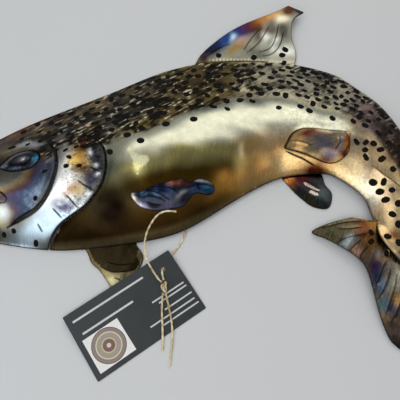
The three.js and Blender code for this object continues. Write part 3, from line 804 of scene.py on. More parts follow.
slits = [
    slit(line, width * MM)
    for line, width in [
        (MOUTH, 1.4), (JAW_TOP, 0.9), (CHEEK_BACK, 2.4), (GILL_EDGE, 1.7),
        *[(tick, 0.7) for tick in GILL_TICKS],
        (DORSAL_BASE, 0.9), (DORSAL_FRONT, 0.6), *[(ray, 0.5) for ray in DORSAL_RAYS],
        (PELVIC_BELOW, 1.1), (PELVIC_ABOVE, 1.1), (STEM_SLIT, 0.9),
    ]
]

EYE_RING = [
    (-140.5, -7.5), (-135.5, 2.2), (-128, 7.6), (-118, 8.8), (-110.5, 4.2), (-108.6, -1.8),
    (-113, -9.2), (-122, -12.6), (-131, -12.6), (-137.5, -10.4),
]
eye_outline = evenly(EYE_RING, 1.2 * MM, closed=True)

# Spots, in millimetres, where they stand apart on the bright parts.
LONE_SPOTS = [
    (-13, 29), (-10, 25), (9, 34), (-4, 47), (25, 47), (36, 44), (47, 54), (57, 53), (78, 46),
    (-21, 50), (-32, 25), (-32, 13), (-55, 3), (-54, -3), (-37, 31), (-56, 18), (-43, 19),
    (-62, 13), (-56, 25), (-72, 18), (-77, 20), (-80, 15), (-82, 9), (-90, 6), (-86, -1),
    (-82, -4), (-87, -9), (-77, -9), (-97, 13), (-114, 18), (-124, 16), (-132, 24), (-98, 6),
    (102, 67), (96, 61), (103, 59), (112, 57), (115, 61), (120, 60), (134, 64), (107, 52),
    (116, 49), (127, 54), (127, 48), (131, 50), (145, 54), (96, 48), (103, 44), (156, 47),
    (166, 44), (121, 37), (125, 38), (121, 33), (144, 40), (138, 35), (141, 35), (147, 31),
    (172, 34), (173, 30), (157, 24), (162, 23), (138, 16), (145, 15), (151, 14), (144, 9),
    (156, 9), (144, 3), (156, 1), (164, 16), (154, -9), (163, -8), (168, -8), (148, -17),
    (155, -18), (160, -25), (152, -25), (155, -32), (163, -36), (158, -44), (161, -52),
    (159, -66), (152, -61), (-118, 31), (-109, 28), (-103, 24), (-98, 27), (-84, 27), (-66, 28),
    (125, 69), (136, 64), (110, 59), (126, 53.5), (130, 46), (142, 50), (153, 44), (161, 40),
    (168, 27), (147, 45), (151, 36), (174, 12), (178, -2), (181, -20), (176, -30),
    (172, -47), (180, -50), (168, -70), (141, 70), (31, 115), (63, 112.5), (75, 112.5),
    (89, 115.5), (92, 121), (90, 107), (-103, -13), (-108, -34), (-134, -57), (-126, -55),
    (-110, -63),
]
HEAD_END = -60
HEAD_SPOT, TRUNK_SPOT, BACK_SPOT = np.array([(1.9, 2.5), (2.5, 3.1), (2.9, 3.5)]) * MM
LONE_GAP, BACK_GAP, REAR_GAP = 5.2 * MM, 7.6 * MM, 6.08 * MM
LONE_CLEAR, BACK_CLEAR = 2.7 * MM, 3.2 * MM   # from a spot's middle to the next cut
BACK_SPOTS = 120
# The back's random spots lie between these ribs and these shares across them. Behind
# the third number they may stand a fifth nearer to each other.
BACK_ALONG, BACK_ACROSS, REAR_FROM = (3.6, 13.4), (0.24, 0.92), 9.5
MOST_TRIES = 5000


def spot_holes(seed):
    """Round spots at the lone places, and more on the dark back at random places that
    keep a gap from those already there."""
    rng = np.random.default_rng(seed)
    lines = np.concatenate(slits + [outline, eye_outline])
    places = []

    def fits(place, gap, clear):
        apart = min([np.hypot(*(place - other)) for other in places] + [1])
        return apart > gap and np.hypot(*(lines - place).T).min() > clear

    for place in np.array(LONE_SPOTS) * MM:
        if fits(place, LONE_GAP, LONE_CLEAR):
            places.append(place)
    lone = len(places)
    for _ in range(MOST_TRIES):
        if len(places) == lone + BACK_SPOTS:
            break
        rib, across = rng.uniform(*BACK_ALONG), rng.uniform(*BACK_ACROSS)
        at = rib_at(rib)
        place = at[2:4] + (at[0:2] - at[2:4]) * (across + 1) / 2
        if fits(place, REAR_GAP if rib > REAR_FROM else BACK_GAP, BACK_CLEAR):
            places.append(place)
    size = [HEAD_SPOT if place[0] < HEAD_END * MM else TRUNK_SPOT for place in places]
    size[lone:] = [BACK_SPOT] * (len(places) - lone)
    return [round_hole(*place, rng.uniform(*span), rng) for place, span in zip(places, size)]


def dents(x, y, to_rim):
    """The small marks that the hammer left: an 11 mm beaten field that dies out towards
    the rim."""
    return 0.2 * MM * smooth(to_rim, 0, 14 * MM) * beaten(x, y, 11 * MM, 12)


spots = spot_holes(5)
body_plan, body_triangles = cut_flat(outline, [*spots, *slits, eye_outline], BODY_GRAIN, 1)
x, y = body_plan.T
dome, rib, across = dome_height(x, y)

# The dorsal fin rises from its foot in shallow flutes. Both fins run into the dome in a
# small bend, and the sheet's own rim is rolled under.
DORSAL_FROM, DORSAL_SPAN, ADIPOSE_FROM = 99 * MM, (7.6, 11.4), (181 * MM, 0.97)
DORSAL_FOOT, DORSAL_FLUTE, ADIPOSE_RISE = 106 * MM, 9.5 * MM, 12.8 * MM
FIN_BEND, ROLL_REACH, ROLL_DROP = 2.2 * MM, 2.6 * MM, 0.7 * MM
dorsal_rise = BODY_SHEET + 0.1 * (y - DORSAL_FOOT)
dorsal_rise += 1.1 * MM * np.sin((x - 0.62 * y) / DORSAL_FLUTE) * smooth(y, 116 * MM, 150 * MM)
dorsal_rise += 2.0 * MM * cloud(x, y, (66, 128), (34, 16), 25)
on_dorsal = (y > DORSAL_FROM) & (rib > DORSAL_SPAN[0]) & (rib < DORSAL_SPAN[1])
on_adipose = (x > ADIPOSE_FROM[0]) & (across > ADIPOSE_FROM[1])
fin_rise = np.where(on_dorsal, dorsal_rise, np.where(on_adipose, ADIPOSE_RISE, -1.0))
meet = np.clip(FIN_BEND - np.abs(dome - fin_rise), 0, None)
body_height = np.maximum(dome, fin_rise) + meet**2 / (4 * FIN_BEND)

to_rim = distance(body_plan, outline)
rolled = np.where(on_dorsal | on_adipose, 0, np.clip(1 - to_rim / ROLL_REACH, 0, 1) ** 2)
body_height -= ROLL_DROP * rolled * (body_height > 3 * MM)
body_height += dents(x, y, to_rim)
body_height += lips(body_plan, [
    (CHEEK_BACK[::-1], 2.2, 7), (CHEEK_BACK, -0.8, 5), (GILL_EDGE[::-1], 1.6, 6),
    (GILL_EDGE, 0.7, 4), (PELVIC_ABOVE, 0.7, 5), (STEM_SLIT[::-1], 1.2, 5),
    (MOUTH[::-1], 1.2, 6), (JAW_TOP[::-1], 0.9, 5),
])
body_height = np.maximum(body_height, BODY_SHEET)

# Ground colours. Clouds wander a little, as brushed and torched patches do.
wx = x + 2.0 * MM * beaten(x, y, 14 * MM, 21)
wy = y + 2.0 * MM * beaten(x, y, 14 * MM, 22)
wander = across + 0.03 * beaten(x, y, 15 * MM, 23)
gill_line = np.array(GILL_EDGE[::-1], float) * MM
behind_gill = x - np.interp(y, gill_line[:, 1], gill_line[:, 0])
nape_soft = 1.5 * MM + 14 * MM * smooth(y, 15 * MM, 30 * MM)
trunk = np.clip(behind_gill / nape_soft + 0.5, 0, 1)
head = 1 - trunk
rear = smooth(rib, 9.9, 11.2)
stem = smooth(rib, 12.6, 14.4)

# Zones across the trunk at rib numbers from the gill to the tail. The blackened back
# ends on one line. Below the bright band each tint comes in between two lines. They darken
# towards the belly partly as temper colour and partly as painted dark reflection.
ZONE_RIBS = [5.5, 7.0, 7.8, 8.5, 9.2, 9.8, 10.6]
BACK_RIBS = [5.5, 7.0, 8.4, 9.5, 10.4, 11.2, 12.0, 13.0]
BACK_ENDS = [-0.03, -0.01, 0.16, 0.14, 0.10, 0.02, -0.10, 0.0]
FLANK_TINTS_AND_SHADE = [
    ("#9a915c", (-0.12, -0.09, -0.11, -0.18, -0.22, -0.26, -0.40),
     (-0.36, -0.28, -0.28, -0.33, -0.42, -0.50, -0.80)),
    ("#48350d", (-0.40, -0.30, -0.28, -0.33, -0.48, -0.90, -1.40),
     (-0.60, -0.48, -0.45, -0.50, -0.68, -1.20, -1.80)),
    ("#251805", (-0.46, -0.50, -0.50, -0.54, -0.74, -1.20, -1.80),
     (-0.76, -0.88, -0.94, -0.94, -1.10, -1.70, -2.20)),
]
# A wedge at the front of the bright band, painted as a highlight.
HIGHLIGHT_WEDGE = [(-43, 7), (-38, 5), (-28, 0), (-26, -6), (-31, -15), (-35, -5)]
body_tone = linear("#dad9c4")
for code, begins, full in FLANK_TINTS_AND_SHADE:
    begins, full = np.interp(rib, ZONE_RIBS, begins), np.interp(rib, ZONE_RIBS, full)
    body_tone = lay_on(body_tone, code, trunk * smooth((begins - wander) / (begins - full), 0, 1))
past_end = wander - np.interp(rib, BACK_RIBS, BACK_ENDS)
on_back = (1 - stem) * smooth(past_end, 0.04, 0.16)
belly_rim = smooth(-across, 0.90, 1.0) * (1 - rear)
# The gill opening's lip is painted white as a highlight.
lip = smooth(behind_gill, 0.5 * MM, 1.2 * MM) * (1 - smooth(behind_gill, 2.4 * MM, 3.6 * MM))
in_highlight_wedge = inside(np.stack([wx, wy], 1), np.array(HIGHLIGHT_WEDGE) * MM)
# In order: under the back's end a grey band of painted shade where the bright band turns
# away, the belly's gold and the back of the rear, the stem's inner side painted pale as a
# highlight, its middle and its back, darkened partly as painted shade, the head's lower
# part and its top, the belly rim, the gill opening's lip painted white as a highlight,
# the painted highlight wedge, the khaki of the back and its paler rear, and the dorsal
# fin's foot.
for code, share in (
    ("#7a7c72", trunk * smooth(past_end, -0.10, 0.04)),
    ("#dcb67c", rear * (1 - stem) * smooth(-wander, 0.30, 0.55)),
    ("#867c6c", rear * smooth(wander, 0.0, 0.3)),
    ("#f8d8a2", stem * smooth(-wander, -0.30, 0.0)),
    ("#7e6a58", stem * smooth(wander, 0.1, 0.4)),
    ("#4c423c", stem * smooth(wander, 0.4, 0.75)),
    ("#6c6b5c", head * smooth(-wander, -0.45, -0.1)),
    ("#6a4a1e", head * smooth(wander, 0.22, 0.4)),
    ("#7a6a48", 0.7 * trunk * belly_rim),
    ("#f4f5f0", lip * smooth(y, -28 * MM, -8 * MM) * (y < 16 * MM)),
    ("#f4f0c4", 0.9 * in_highlight_wedge),
    ("#6e5d35", on_back),
    ("#bcb49c", on_back * smooth(rib, 8.6, 10.2)),
    ("#86867a", on_dorsal * smooth(y, 107 * MM, 112 * MM)),
):
    body_tone = lay_on(body_tone, code, share)
body_patina = smooth(past_end, -0.04, 0.20) * (0.55 + 0.45 * smooth(rib, 3.4, 4.8))
body_patina *= 1 - 0.40 * smooth(rib, 8.9, 10.3) * (1 - smooth(wander, 0.72, 0.9))
# Over the eye the blackening is cleared for a painted highlight.
body_patina *= 1 - 0.85 * cloud(wx, wy, (-119, 14.5), (12, 4), 12) * head
body_patina = np.maximum(body_patina, 0.6 * cloud(wx, wy, (-99, 2), (6, 13)) * head)
body_patina = np.where(on_dorsal, body_patina * (1 - smooth(y, 104 * MM, 111 * MM)), body_patina)

TRUNK_CLOUDS = [
    # the khaki of the back is darker towards the head
    ("#2c2b25", (-46, 44), (36, 10), 14, 1.1),
    ("#463214", (6, 80), (26, 10), 12, 0.9),
    ("#4a4230", (-40, 66), (34, 8), 28, 0.8),
    # behind the gill: dull grey-green, partly painted shade in the hollow there, a nearly black patch by
    # the belly, and a painted highlight at the wedge's tip
    ("#565a4f", (-57, -4), (12, 19), 8, 1.1),
    ("#2f2a1a", (-60, -36), (20, 14), 20, 0.9),
    ("#120906", (-51, -42), (12, 9), 0, 1.1),
    ("#4c452c", (-34, -33), (9, 6), 0, 0.6),
    ("#5f625a", (-64, 26), (22, 10), 25, 0.9),
    ("#fff4a4", (-31, -10), (3, 4), -10, 1.0),
    ("#6a6a5c", (-48, 6), (5, 9), 20, 0.8),
    # the belly runs to gold and then bright orange by the pelvic fin; the small pale dab further forward
    # is a painted highlight, and the pale orange by the fin is partly one
    ("#b8945e", (54, 12), (16, 10), 20, 0.9),
    ("#ffe8b0", (46, 8), (3, 5), -25, 1.3),
    ("#c08c40", (41, -17), (15, 8), 32, 1.0),
    ("#d09c5c", (62, -4), (16, 8), 25, 1.1),
    ("#d0a468", (74, 10), (12, 12), 30, 0.9),
    ("#ffdca0", (87, 1), (11, 11), 0, 1.3),
    ("#ffb860", (86, -8), (12, 4), 10, 0.8),
    ("#5c2810", (106, -3), (8, 6), 0, 1.5),
    # on the stem: heat colours, darkest towards its back partly as painted shade
    ("#6e6250", (143, 30), (12, 18), 0, 1.1),
    ("#66565a", (155, 28), (11, 16), 0, 0.9),
    ("#3a2822", (168, 14), (13, 30), -8, 1.2),
    ("#96787a", (148, 56), (8, 17), 25, 0.8),
    # the inside of the tail's bend is painted pale as a highlight
    ("#f3e9c8", (142, -20), (7, 12), 0, 1.0),
    ("#fff4dc", (147, -34), (7, 9), 0, 1.0),
    ("#f0c890", (153, -40), (6, 12), 0, 0.7),
    ("#9c5c1c", (157, -60), (8, 8), 0, 1.0),
    ("#d4b48c", (150, -4), (7, 7), 0, 0.8),
]
HEAD_CLOUDS = [
    # brown along the top, a painted highlight over the eye, painted white highlights and pale blue
    # reflections on the gill cover and chin, gold on the gill cover, and small painted glints by the
    # gill opening
    ("#84501a", (-140, 34), (40, 8), 28, 1.2),
    ("#8a5a24", (-160, 24), (20, 6), 30, 1.0),
    ("#f4f6f6", (-117, 16), (15, 3.5), 14, 1.2),
    ("#64625a", (-124, -18), (20, 10), 20, 0.7),
    ("#2a2822", (-98, 24), (24, 8), 18, 1.2),
    ("#84847c", (-92, 8), (10, 10), 0, 1.1),
    ("#fffdf8", (-88, -22), (11, 20), 25, 1.2),
    ("#f8f6f4", (-98, -38), (14, 10), 35, 1.1),
    ("#d5ebf6", (-104, -53), (26, 9), 30, 1.2),
    ("#e4f2f4", (-133, -43), (8, 5), 20, 1.2),
    ("#e8d890", (-142, -49), (8, 4), 10, 1.0),
    ("#282b36", (-65, 0), (5, 17), 8, 1.5),
    ("#eef0f6", (-68, 5), (1.6, 3), 0, 1.2),
    ("#e8ecf6", (-66, -7), (2, 1.6), 0, 1.0),
    ("#3a3a48", (-67, -19), (6, 8), 20, 1.3),
    ("#f4f4f8", (-63, -15), (2, 2), 0, 1.0),
    ("#f0f0f4", (-68, -30), (3, 2), 0, 1.0),
    ("#a87a30", (-79, -2), (6, 12), 8, 1.1),
    ("#e8c468", (-82, -5), (4, 3), 30, 1.0),
    ("#5c3a14", (-75, -9), (3, 4), 0, 1.0),
    ("#fff0c0", (-84, -11), (3, 2), 20, 1.1),
    ("#d8a040", (-76, 4), (2.5, 3), 0, 0.9),
    ("#6e401c", (-76, 13), (6, 6), 0, 1.2),
    ("#f0dca0", (-77, -28), (4, 4), 20, 1.0),
    ("#b07c34", (-83, -28), (4, 3), 20, 0.9),
    ("#50506a", (-86, -38), (7, 5), -20, 1.2),
    ("#e8e4ee", (-88, -36), (2.5, 1.5), 0, 1.0),
    ("#3c3628", (-104, 10), (5, 8), 0, 1.2),
    ("#4a3822", (-108, 0), (5, 8), 0, 0.9),
]
DORSAL_CLOUDS = [
    # blue, rose and gold along the front with a blue-white painted highlight, painted white highlights
    # in the middle and near the tip, and painted grey shadows behind
    ("#3a2a24", (17, 112), (7, 5), 45, 1.2),
    ("#181b2c", (24, 124), (12, 8), 42, 1.5),
    ("#223a72", (35, 133), (8, 8), 42, 1.4),
    ("#1a2c62", (51, 142), (10, 8), 42, 1.5),
    ("#46233f", (60, 146), (7, 9), 40, 1.5),
    ("#3a2018", (68, 146), (6, 8), 50, 1.5),
    ("#3a2f20", (68, 134), (4, 8), -25, 1.2),
    ("#a4c4e4", (45, 133), (5, 2.6), 42, 1.1),
    ("#8a6c34", (48, 122), (9, 4), 32, 1.0),
    ("#a87c78", (54, 129), (5, 3), 42, 0.9),
    ("#985c2c", (73, 155), (10, 6), 35, 1.1),
    ("#c49250", (85, 158), (9, 5), 30, 1.2),
    ("#fff8dc", (91, 154), (6, 5), 20, 1.3),
    ("#d8d8d0", (74, 134), (4, 8), -25, 1.0),
    ("#e4e4dc", (91, 119), (8, 8), 0, 1.0),
    ("#f4f4ee", (84, 128), (3, 9), -20, 1.0),
    ("#54321a", (98, 165), (8, 7), 30, 1.5),
    ("#1e1a22", (108, 165), (4, 6), 40, 1.4),
    ("#4a4842", (91, 142), (6, 9), 10, 1.3),
    ("#5c5850", (80, 145), (4, 9), -20, 1.2),
]
for where, clouds in ((trunk, TRUNK_CLOUDS), (head, HEAD_CLOUDS), (on_dorsal, DORSAL_CLOUDS)):
    clouded = colour_clouds(body_tone, wx, wy, clouds)
    body_tone = body_tone + where[:, None] * (clouded - body_tone)

# A row of weld tacks along the dorsal fin's foot, ground bright.
TACK_LINE, TACK_HALF, TACK_PITCH = 110.2 * MM, 0.9 * MM, 3.2 * MM
tacks = np.exp(-(((y - TACK_LINE) / TACK_HALF) ** 2)) * (np.sin(2 * np.pi * x / TACK_PITCH) > -0.2)
body_tone = lay_on(body_tone, "#c0bdac", tacks * smooth(x, 20 * MM, 26 * MM) * (x < 72 * MM))

# Torch heat on the cheek, by its distance in millimetres from the cheek slit: the metal
# runs through brown and violet to pale blue beside the cut. The palest first 1.5 mm is a
# painted highlight on the cut's lip.
CHEEK_HEAT = [
    (0, 1.0), (1.5, 0.98), (2.6, 0.74), (8, 0.76), (15, 0.69), (19, 0.52), (23, 0.32), (30, 0.0),
]
BODY_TORCH = [
    ((-77, 6), (6, 14), 0, 0.34),
    ((-78, -26), (7, 6), 10, 0.30),
    ((158, -58), (10, 16), 15, 0.26),
    ((186, -20), (12, 50), 0, 0.50),
]
cheek_line = evenly(CHEEK_BACK, SMALL_STEP)
before_cheek = np.interp(y, cheek_line[::-1, 1], cheek_line[::-1, 0]) - x
on_cheek = (before_cheek > 0.2 * MM) * (1 - cloud(x, y, (-137, -46), (13, 9), 20))
on_cheek = on_cheek * smooth(y, -56 * MM, -50 * MM) * (1 - smooth(y, 0, 14 * MM))
cheek_heat = np.interp(distance(np.stack([wx, wy], 1), cheek_line) / MM, *np.transpose(CHEEK_HEAT))
cheek_heat *= on_cheek * (1 - 0.26 * smooth(y, -16 * MM, 0))
body_heat = np.maximum(torch_heat(wx, wy, BODY_TORCH), cheek_heat)
on_gill = head * (1 - smooth(before_cheek, -2 * MM, 0))
body_speckle = 0.9 * on_gill * smooth(x, -94 * MM, -82 * MM) + 0.3 * rear
body_speckle += 0.15 * (before_cheek > 0) * head

body_finish = torched_steel("torched_brushed_steel_body", 82, 0.27, 0.22)
steel_piece(
    "steel_body", body_plan, body_triangles, body_height, BODY_SHEET, body_finish, "flank_steel",
    ["head_top", "upper_jaw", "lower_jaw", "cheek_plate", "gill_cover", "trunk_front",
     "trunk_middle", "trunk_rear", "tail_stem", "dorsal_fin", "adipose_fin"],
    np.concatenate([outline, *slits, eye_outline]),
    tone=body_tone, torch=body_heat, patina=body_patina, speckle=body_speckle,
)

# Each spot hole has a black floor under it: painted shade for the dark seen through it.
SHADE_FLOOR_DEEP, SHADE_FLOOR_THICK = 0.7 * MM, 0.5 * MM
LOWEST_FLOOR, OFF_TABLE = 0.4 * MM, 0.1 * MM


def painted_hole_shade():
    """Painted shade for the holes: a black floor, crusty and matt."""
    material, tree, shader, where = new_finish("painted_shade_hole_floor")
    crust = add(tree, "TexNoise", {"Vector": where, "Scale": 1 / (0.8 * MM)})
    mix = add(tree, "Mix", {0: crust, 6: colour("#0a0909"), 7: colour("#1d1815")}, data_type="RGBA")
    relief = {"Height": crust, "Strength": 0.8, "Distance": 0.3 * MM}
    feed(tree, shader, {
        "Base Color": mix, "Normal": add(tree, "Bump", relief), "Roughness": 0.9,
        "Specular IOR Level": 0.15,
    })
    return material


hole_shade_finish = painted_hole_shade()


def prisms(name, high, low, finish):
    """One piece of flat-sided prisms, each between a ring of its high points and the ring
    of the low points under them."""
    count, sides = high.shape[:2]
    start = 2 * sides * np.arange(count)[:, None]
    ring = np.arange(sides)
    after = (ring + 1) % sides
    caps = np.concatenate([start + ring, start + sides + ring[::-1]]).tolist()
    walls = start[..., None] + np.stack([ring + sides, after + sides, after, ring], axis=1)
    corners = np.concatenate([high, low], axis=1).reshape(-1, 3)
    piece = mesh_piece(name, corners, caps + walls.reshape(-1, 4).tolist(), smooth=False)
    hand_over(piece, finishes=[finish])


def hole_shade_floors(name, rims, tops):
    """Black floors of painted shade in round holes: each follows its rim's height, a set depth
    below it and one floor thickness thick, and stays off the table."""
    high = np.dstack([rims, np.maximum(tops - SHADE_FLOOR_DEEP, LOWEST_FLOOR)])
    low = np.dstack([rims, np.maximum(high[..., 2] - SHADE_FLOOR_THICK, OFF_TABLE)])
    prisms(name, high, low, hole_shade_finish)


# The flat mesh keeps the cut lines' points first, so the rims' heights are found there.
rims = np.array(spots)
cut_points = body_plan[: len(outline) + sum(len(hole) for hole in [*spots, *slits, eye_outline])]
tops = np.zeros(rims.shape[:2])
for number, rim in enumerate(rims):
    gaps = ((rim[:, None] - cut_points[None]) ** 2).sum(2)
    tops[number] = body_height[gaps.argmin(1)]
hole_shade_floors("spot_hole_shade", rims, tops)

# ---- Eye ----
# An almond of the same steel, pushed up from behind and let into the head. A torch ring
# of blue-black stands for the iris round a small pupil with a painted glint.
EYE_GAP, EYE_HALF = 0.9 * MM, 10 * MM
PUPIL = (-123, -2)
eye_middle = eye_outline.mean(0)
eye_shrink = 1 - EYE_GAP / EYE_HALF
eye_cut = eye_middle + (eye_outline - eye_middle) * eye_shrink
eye_plan, eye_triangles = cut_flat(eye_cut, [], FIN_GRAIN * 0.8, 2)
x, y = eye_plan.T
to_rim = distance(eye_plan, eye_cut)
ring = cloud(x, y, PUPIL, (7.5, 5.0), 18)
pupil = cloud(x, y, PUPIL, (3.2, 1.9), 18)
eye_height = dome_height(x, y)[0] + 1.3 * MM * smooth(to_rim, 0, 6 * MM) - 0.2 * MM
eye_height += 0.5 * MM * pupil - 0.35 * MM * np.exp(-(((ring - 0.45) / 0.12) ** 2))
eye_tone = colour_clouds(linear("#3f4354"), x, y, [
    ("#0b0d11", PUPIL, (9, 5.5), 18, 2.2),
    ("#2c6480", (-112.5, 1.5), (4, 6), 30, 1.1),
    ("#08090d", (-131, -6.5), (2.5, 3), 0, 1.0),
    ("#0a0b10", (-117, 5), (5, 2), 10, 1.1),
    ("#c4c8dc", (-136.5, -8), (3, 1.2), 20, 1.1),
    ("#0c0d12", (-119, -7), (4, 2), 20, 1.0),
    ("#5a5f70", (-127, -2), (4, 2), 20, 0.7),
    ("#8c8086", PUPIL, (4.0, 2.2), 30, 1.2),
    # a painted glint in the pupil
    ("#fbf5f2", (-121.8, -1.4), (1.7, 1.1), 50, 1.0),
    ("#70788c", (-128, -10), (5, 1.2), 5, 0.8),
])
steel_piece(
    "eye_plate", eye_plan, eye_triangles, eye_height, FIN_SHEET,
    torched_steel("torched_steel_eye", 18, 0.22, 0.4), "eye_steel", ["eye"], eye_cut,
    tone=eye_tone, speckle=1.0,
)

# ---- Near fins ----
# The pectoral and pelvic fins on the side seen are separate sheets, slit along their
# rays, torched dark blue and bronze, and welded on so that they stand just off the flank.
FIN_LIFT = 0.4 * MM
RAY_WIDE = 0.5 * MM
NEAR_PECTORAL = [
    (-37, -30), (-35, -35), (-30, -39), (-20, -41), (-9, -40), (0, -38), (5, -34), (8, -30),
    (13, -28), (21, -28.5), (25, -25), (24, -22), (19, -19), (12, -19), (6, -21.5), (0, -19),
    (-10, -21), (-21, -24), (-29, -28),
]
PECTORAL_RAYS = [
    [(-26, -26), (-20, -25), (-12, -25), (-6, -27), (-2, -30)],
    [(-28, -30), (-24, -28), (-16, -30), (-12, -32), (-9, -34)],
    [(-29, -33), (-23, -32), (-16, -33), (-12, -35)],
    [(-26, -36), (-21, -37), (-15, -37.5)],
    [(14, -26), (12, -24), (13, -22)],
]
NEAR_PELVIC = [
    (83.5, 14), (87, 20), (93, 24), (100, 25.6), (109, 25), (119, 23.6), (131.5, 23.2), (132.4, 19),
    (132, 12), (129.5, 6), (124, 1.4), (118, -0.6), (112, -0.2), (106, 2), (98, 5.4), (91, 7.6),
    (82.5, 9.8),
]
PELVIC_RAYS = [
    [(124, 19), (123.5, 14), (120, 9)],
    [(129, 22), (131, 14), (127, 6.5)],
    [(86, 15), (94, 14), (101, 12)],
]


def fin_flat(cut, rays, wide, seed, holes=()):
    """A fin's flat plan, its triangles, and the points of its cut edge and ray slits."""
    ray_slits = [slit(ray, wide) for ray in rays]
    return *cut_flat(cut, [*ray_slits, *holes], FIN_GRAIN, seed), np.concatenate([cut, *ray_slits])


def fin_piece(name, nodes, flat, height, tone, speckle, turn, roughness, brush_deep, finish=None):
    """A fin of torched sheet. Its finish is named for the piece unless a name is given."""
    plan, triangles, cuts = flat
    steel_piece(
        name, plan, triangles, height, FIN_SHEET,
        torched_steel("torched_steel_" + (finish or name), turn, roughness, brush_deep),
        "fin_steel", nodes, cuts, tone=tone, speckle=speckle,
    )


def on_flank(x, y):
    """The height of the beaten flank under a fin."""
    return dome_height(x, y)[0] + dents(x, y, distance(np.stack([x, y], 1), outline))


pectoral_cut = evenly(NEAR_PECTORAL, FIN_GRAIN, closed=True)
pectoral = fin_flat(pectoral_cut, PECTORAL_RAYS, RAY_WIDE, 3)
# The pectoral follows the flank, and stands further off it towards the tip.
x, y = pectoral[0].T
to_rim = distance(pectoral[0], pectoral_cut)
fin_height = on_flank(x, y) + FIN_LIFT + FIN_SHEET + 3.5 * MM * smooth(x, -37 * MM, 40 * MM)
fin_height += 0.7 * MM * smooth(to_rim, 0, 6 * MM) + 0.25 * MM * beaten(x, y, 6 * MM, 31)
fin_height += lips(pectoral[0], [(ray[::-1], 0.5, 2.5) for ray in PECTORAL_RAYS])
# The thin pale lines along the upper edge and at the front lip are painted highlights.
fin_tone = colour_clouds(linear("#28303e"), x, y, [
    ("#1a2746", (-16, -27), (14, 5), -4, 0.95),
    ("#46607a", (-22, -30), (10, 1.4), -4, 0.8),
    ("#2a4656", (-20, -35), (14, 3), -4, 0.8),
    ("#3a3a4c", (-12, -37), (15, 5), 5, 1.0),
    ("#b9b4cc", (-31, -38), (6, 1.8), -20, 1.1),
    ("#f0ead8", (-36, -33), (1.8, 6), 10, 1.0),
    ("#aab0bc", (0, -30), (4, 1.6), 40, 0.9),
    ("#6a3428", (5, -22), (6, 3), 0, 0.9),
    ("#a85a3c", (-5, -22), (5, 2), 0, 0.8),
    ("#16161f", (4, -32), (8, 4.5), 10, 1.2),
    ("#172848", (13, -24), (8, 5), 0, 1.1),
    ("#24506a", (21, -25), (4, 3), 0, 0.9),
    ("#e4e8ea", (14, -19.6), (9, 1.0), -5, 1.0),
])
fin_piece(
    "near_pectoral_sheet", ["near_pectoral_fin"], pectoral, fin_height, fin_tone, 0.25,
    -5, 0.22, 0.7, "pectoral",
)

pelvic = fin_flat(evenly(NEAR_PELVIC, FIN_GRAIN, closed=True), PELVIC_RAYS, RAY_WIDE, 4)
x, y = pelvic[0].T
# A shallow arch, highest along its upper edge, that falls to the belly and behind.
PELVIC_TOP, PELVIC_RIDGE, PELVIC_BEND = 24 * MM, 27 * MM, 105 * MM
over = np.clip(x - PELVIC_BEND, 0, None)
fin_height = PELVIC_TOP - 11 * (PELVIC_RIDGE - y) ** 2 - 1.2 * over**2
fin_height += 0.3 * MM * beaten(x, y, 7 * MM, 32)
fin_height += lips(pelvic[0], [(ray[::-1], 0.6, 3) for ray in PELVIC_RAYS])
fin_tone = colour_clouds(linear("#bea26c"), x, y, [
    ("#e0b478", (90, 14), (8, 6), 0, 0.8),
    ("#8c3c24", (100, 21.5), (8, 3.4), 10, 1.2),
    ("#7c747a", (111, 14), (11, 8), 0, 1.2),
    ("#434a70", (118, 6), (8, 4), 30, 1.1),
    ("#8ea0b0", (127, 17), (3, 5), 0, 0.9),
    ("#d8b8a4", (122, 9), (5, 3), 30, 0.8),
    ("#d8782c", (130.5, 13), (3, 9), 8, 1.3),
    ("#5c2412", (127, 5), (4, 3), 0, 1.1),
    ("#6c3020", (112, 1), (8, 2), 0, 0.9),
    # a painted highlight along the top edge
    ("#ece6d8", (124, 23), (10, 1.0), 0, 0.9),
])
fin_piece(
    "near_pelvic_sheet", ["near_pelvic_fin"], pelvic, fin_height, fin_tone, 0.3,
    20, 0.25, 0.6, "pelvic",
)

# ---- Far fins ----
# Flat lobes of sheet on the table, welded under the belly rim: the other pectoral, a
# nearly black lobe on a khaki one, and the other pelvic, dark with two pale bars.
FAR_PECTORAL = [
    (-74, -58), (-73, -67), (-68, -76), (-63, -81), (-57.5, -87), (-51, -95.5), (-45, -99),
    (-41, -96), (-39, -89), (-34, -84), (-30, -78), (-30, -70), (-35, -62), (-38, -58),
]
FAR_PECTORAL_RAYS = [
    [(-56, -77), (-46, -79), (-37, -78)],
    [(-60.4, -79.9), (-52.7, -84), (-45.4, -84.4), (-38.2, -83.4), (-33.5, -81)],
    [(-49, -89), (-46, -90), (-44, -92)],
]
FAR_PECTORAL_DARK = [
    (-66.9, -60), (-66.9, -73.2), (-60.4, -79.9), (-52.7, -84), (-45.4, -84.4), (-38.2, -83.4),
    (-33, -81.4), (-31.3, -76.7), (-33.6, -71.2), (-36, -60),
]
FAR_PELVIC = [
    (84, -3), (82.5, -10), (87, -16), (91, -21), (96, -26), (102, -31), (109, -33.4), (115, -33),
    (118.3, -27), (118.5, -19), (114, -11.5), (108, 0),
]
FAR_PELVIC_RAYS = [
    [(99.2, -10.3), (104.5, -13.8), (109.7, -17.4)],
    [(98.7, -15.4), (103.8, -17.9), (108.8, -20.1)],
]
FAR_PELVIC_BARS = [[(97.5, -11.6), (109.5, -19)], [(101.5, -19), (107.8, -22.9)]]


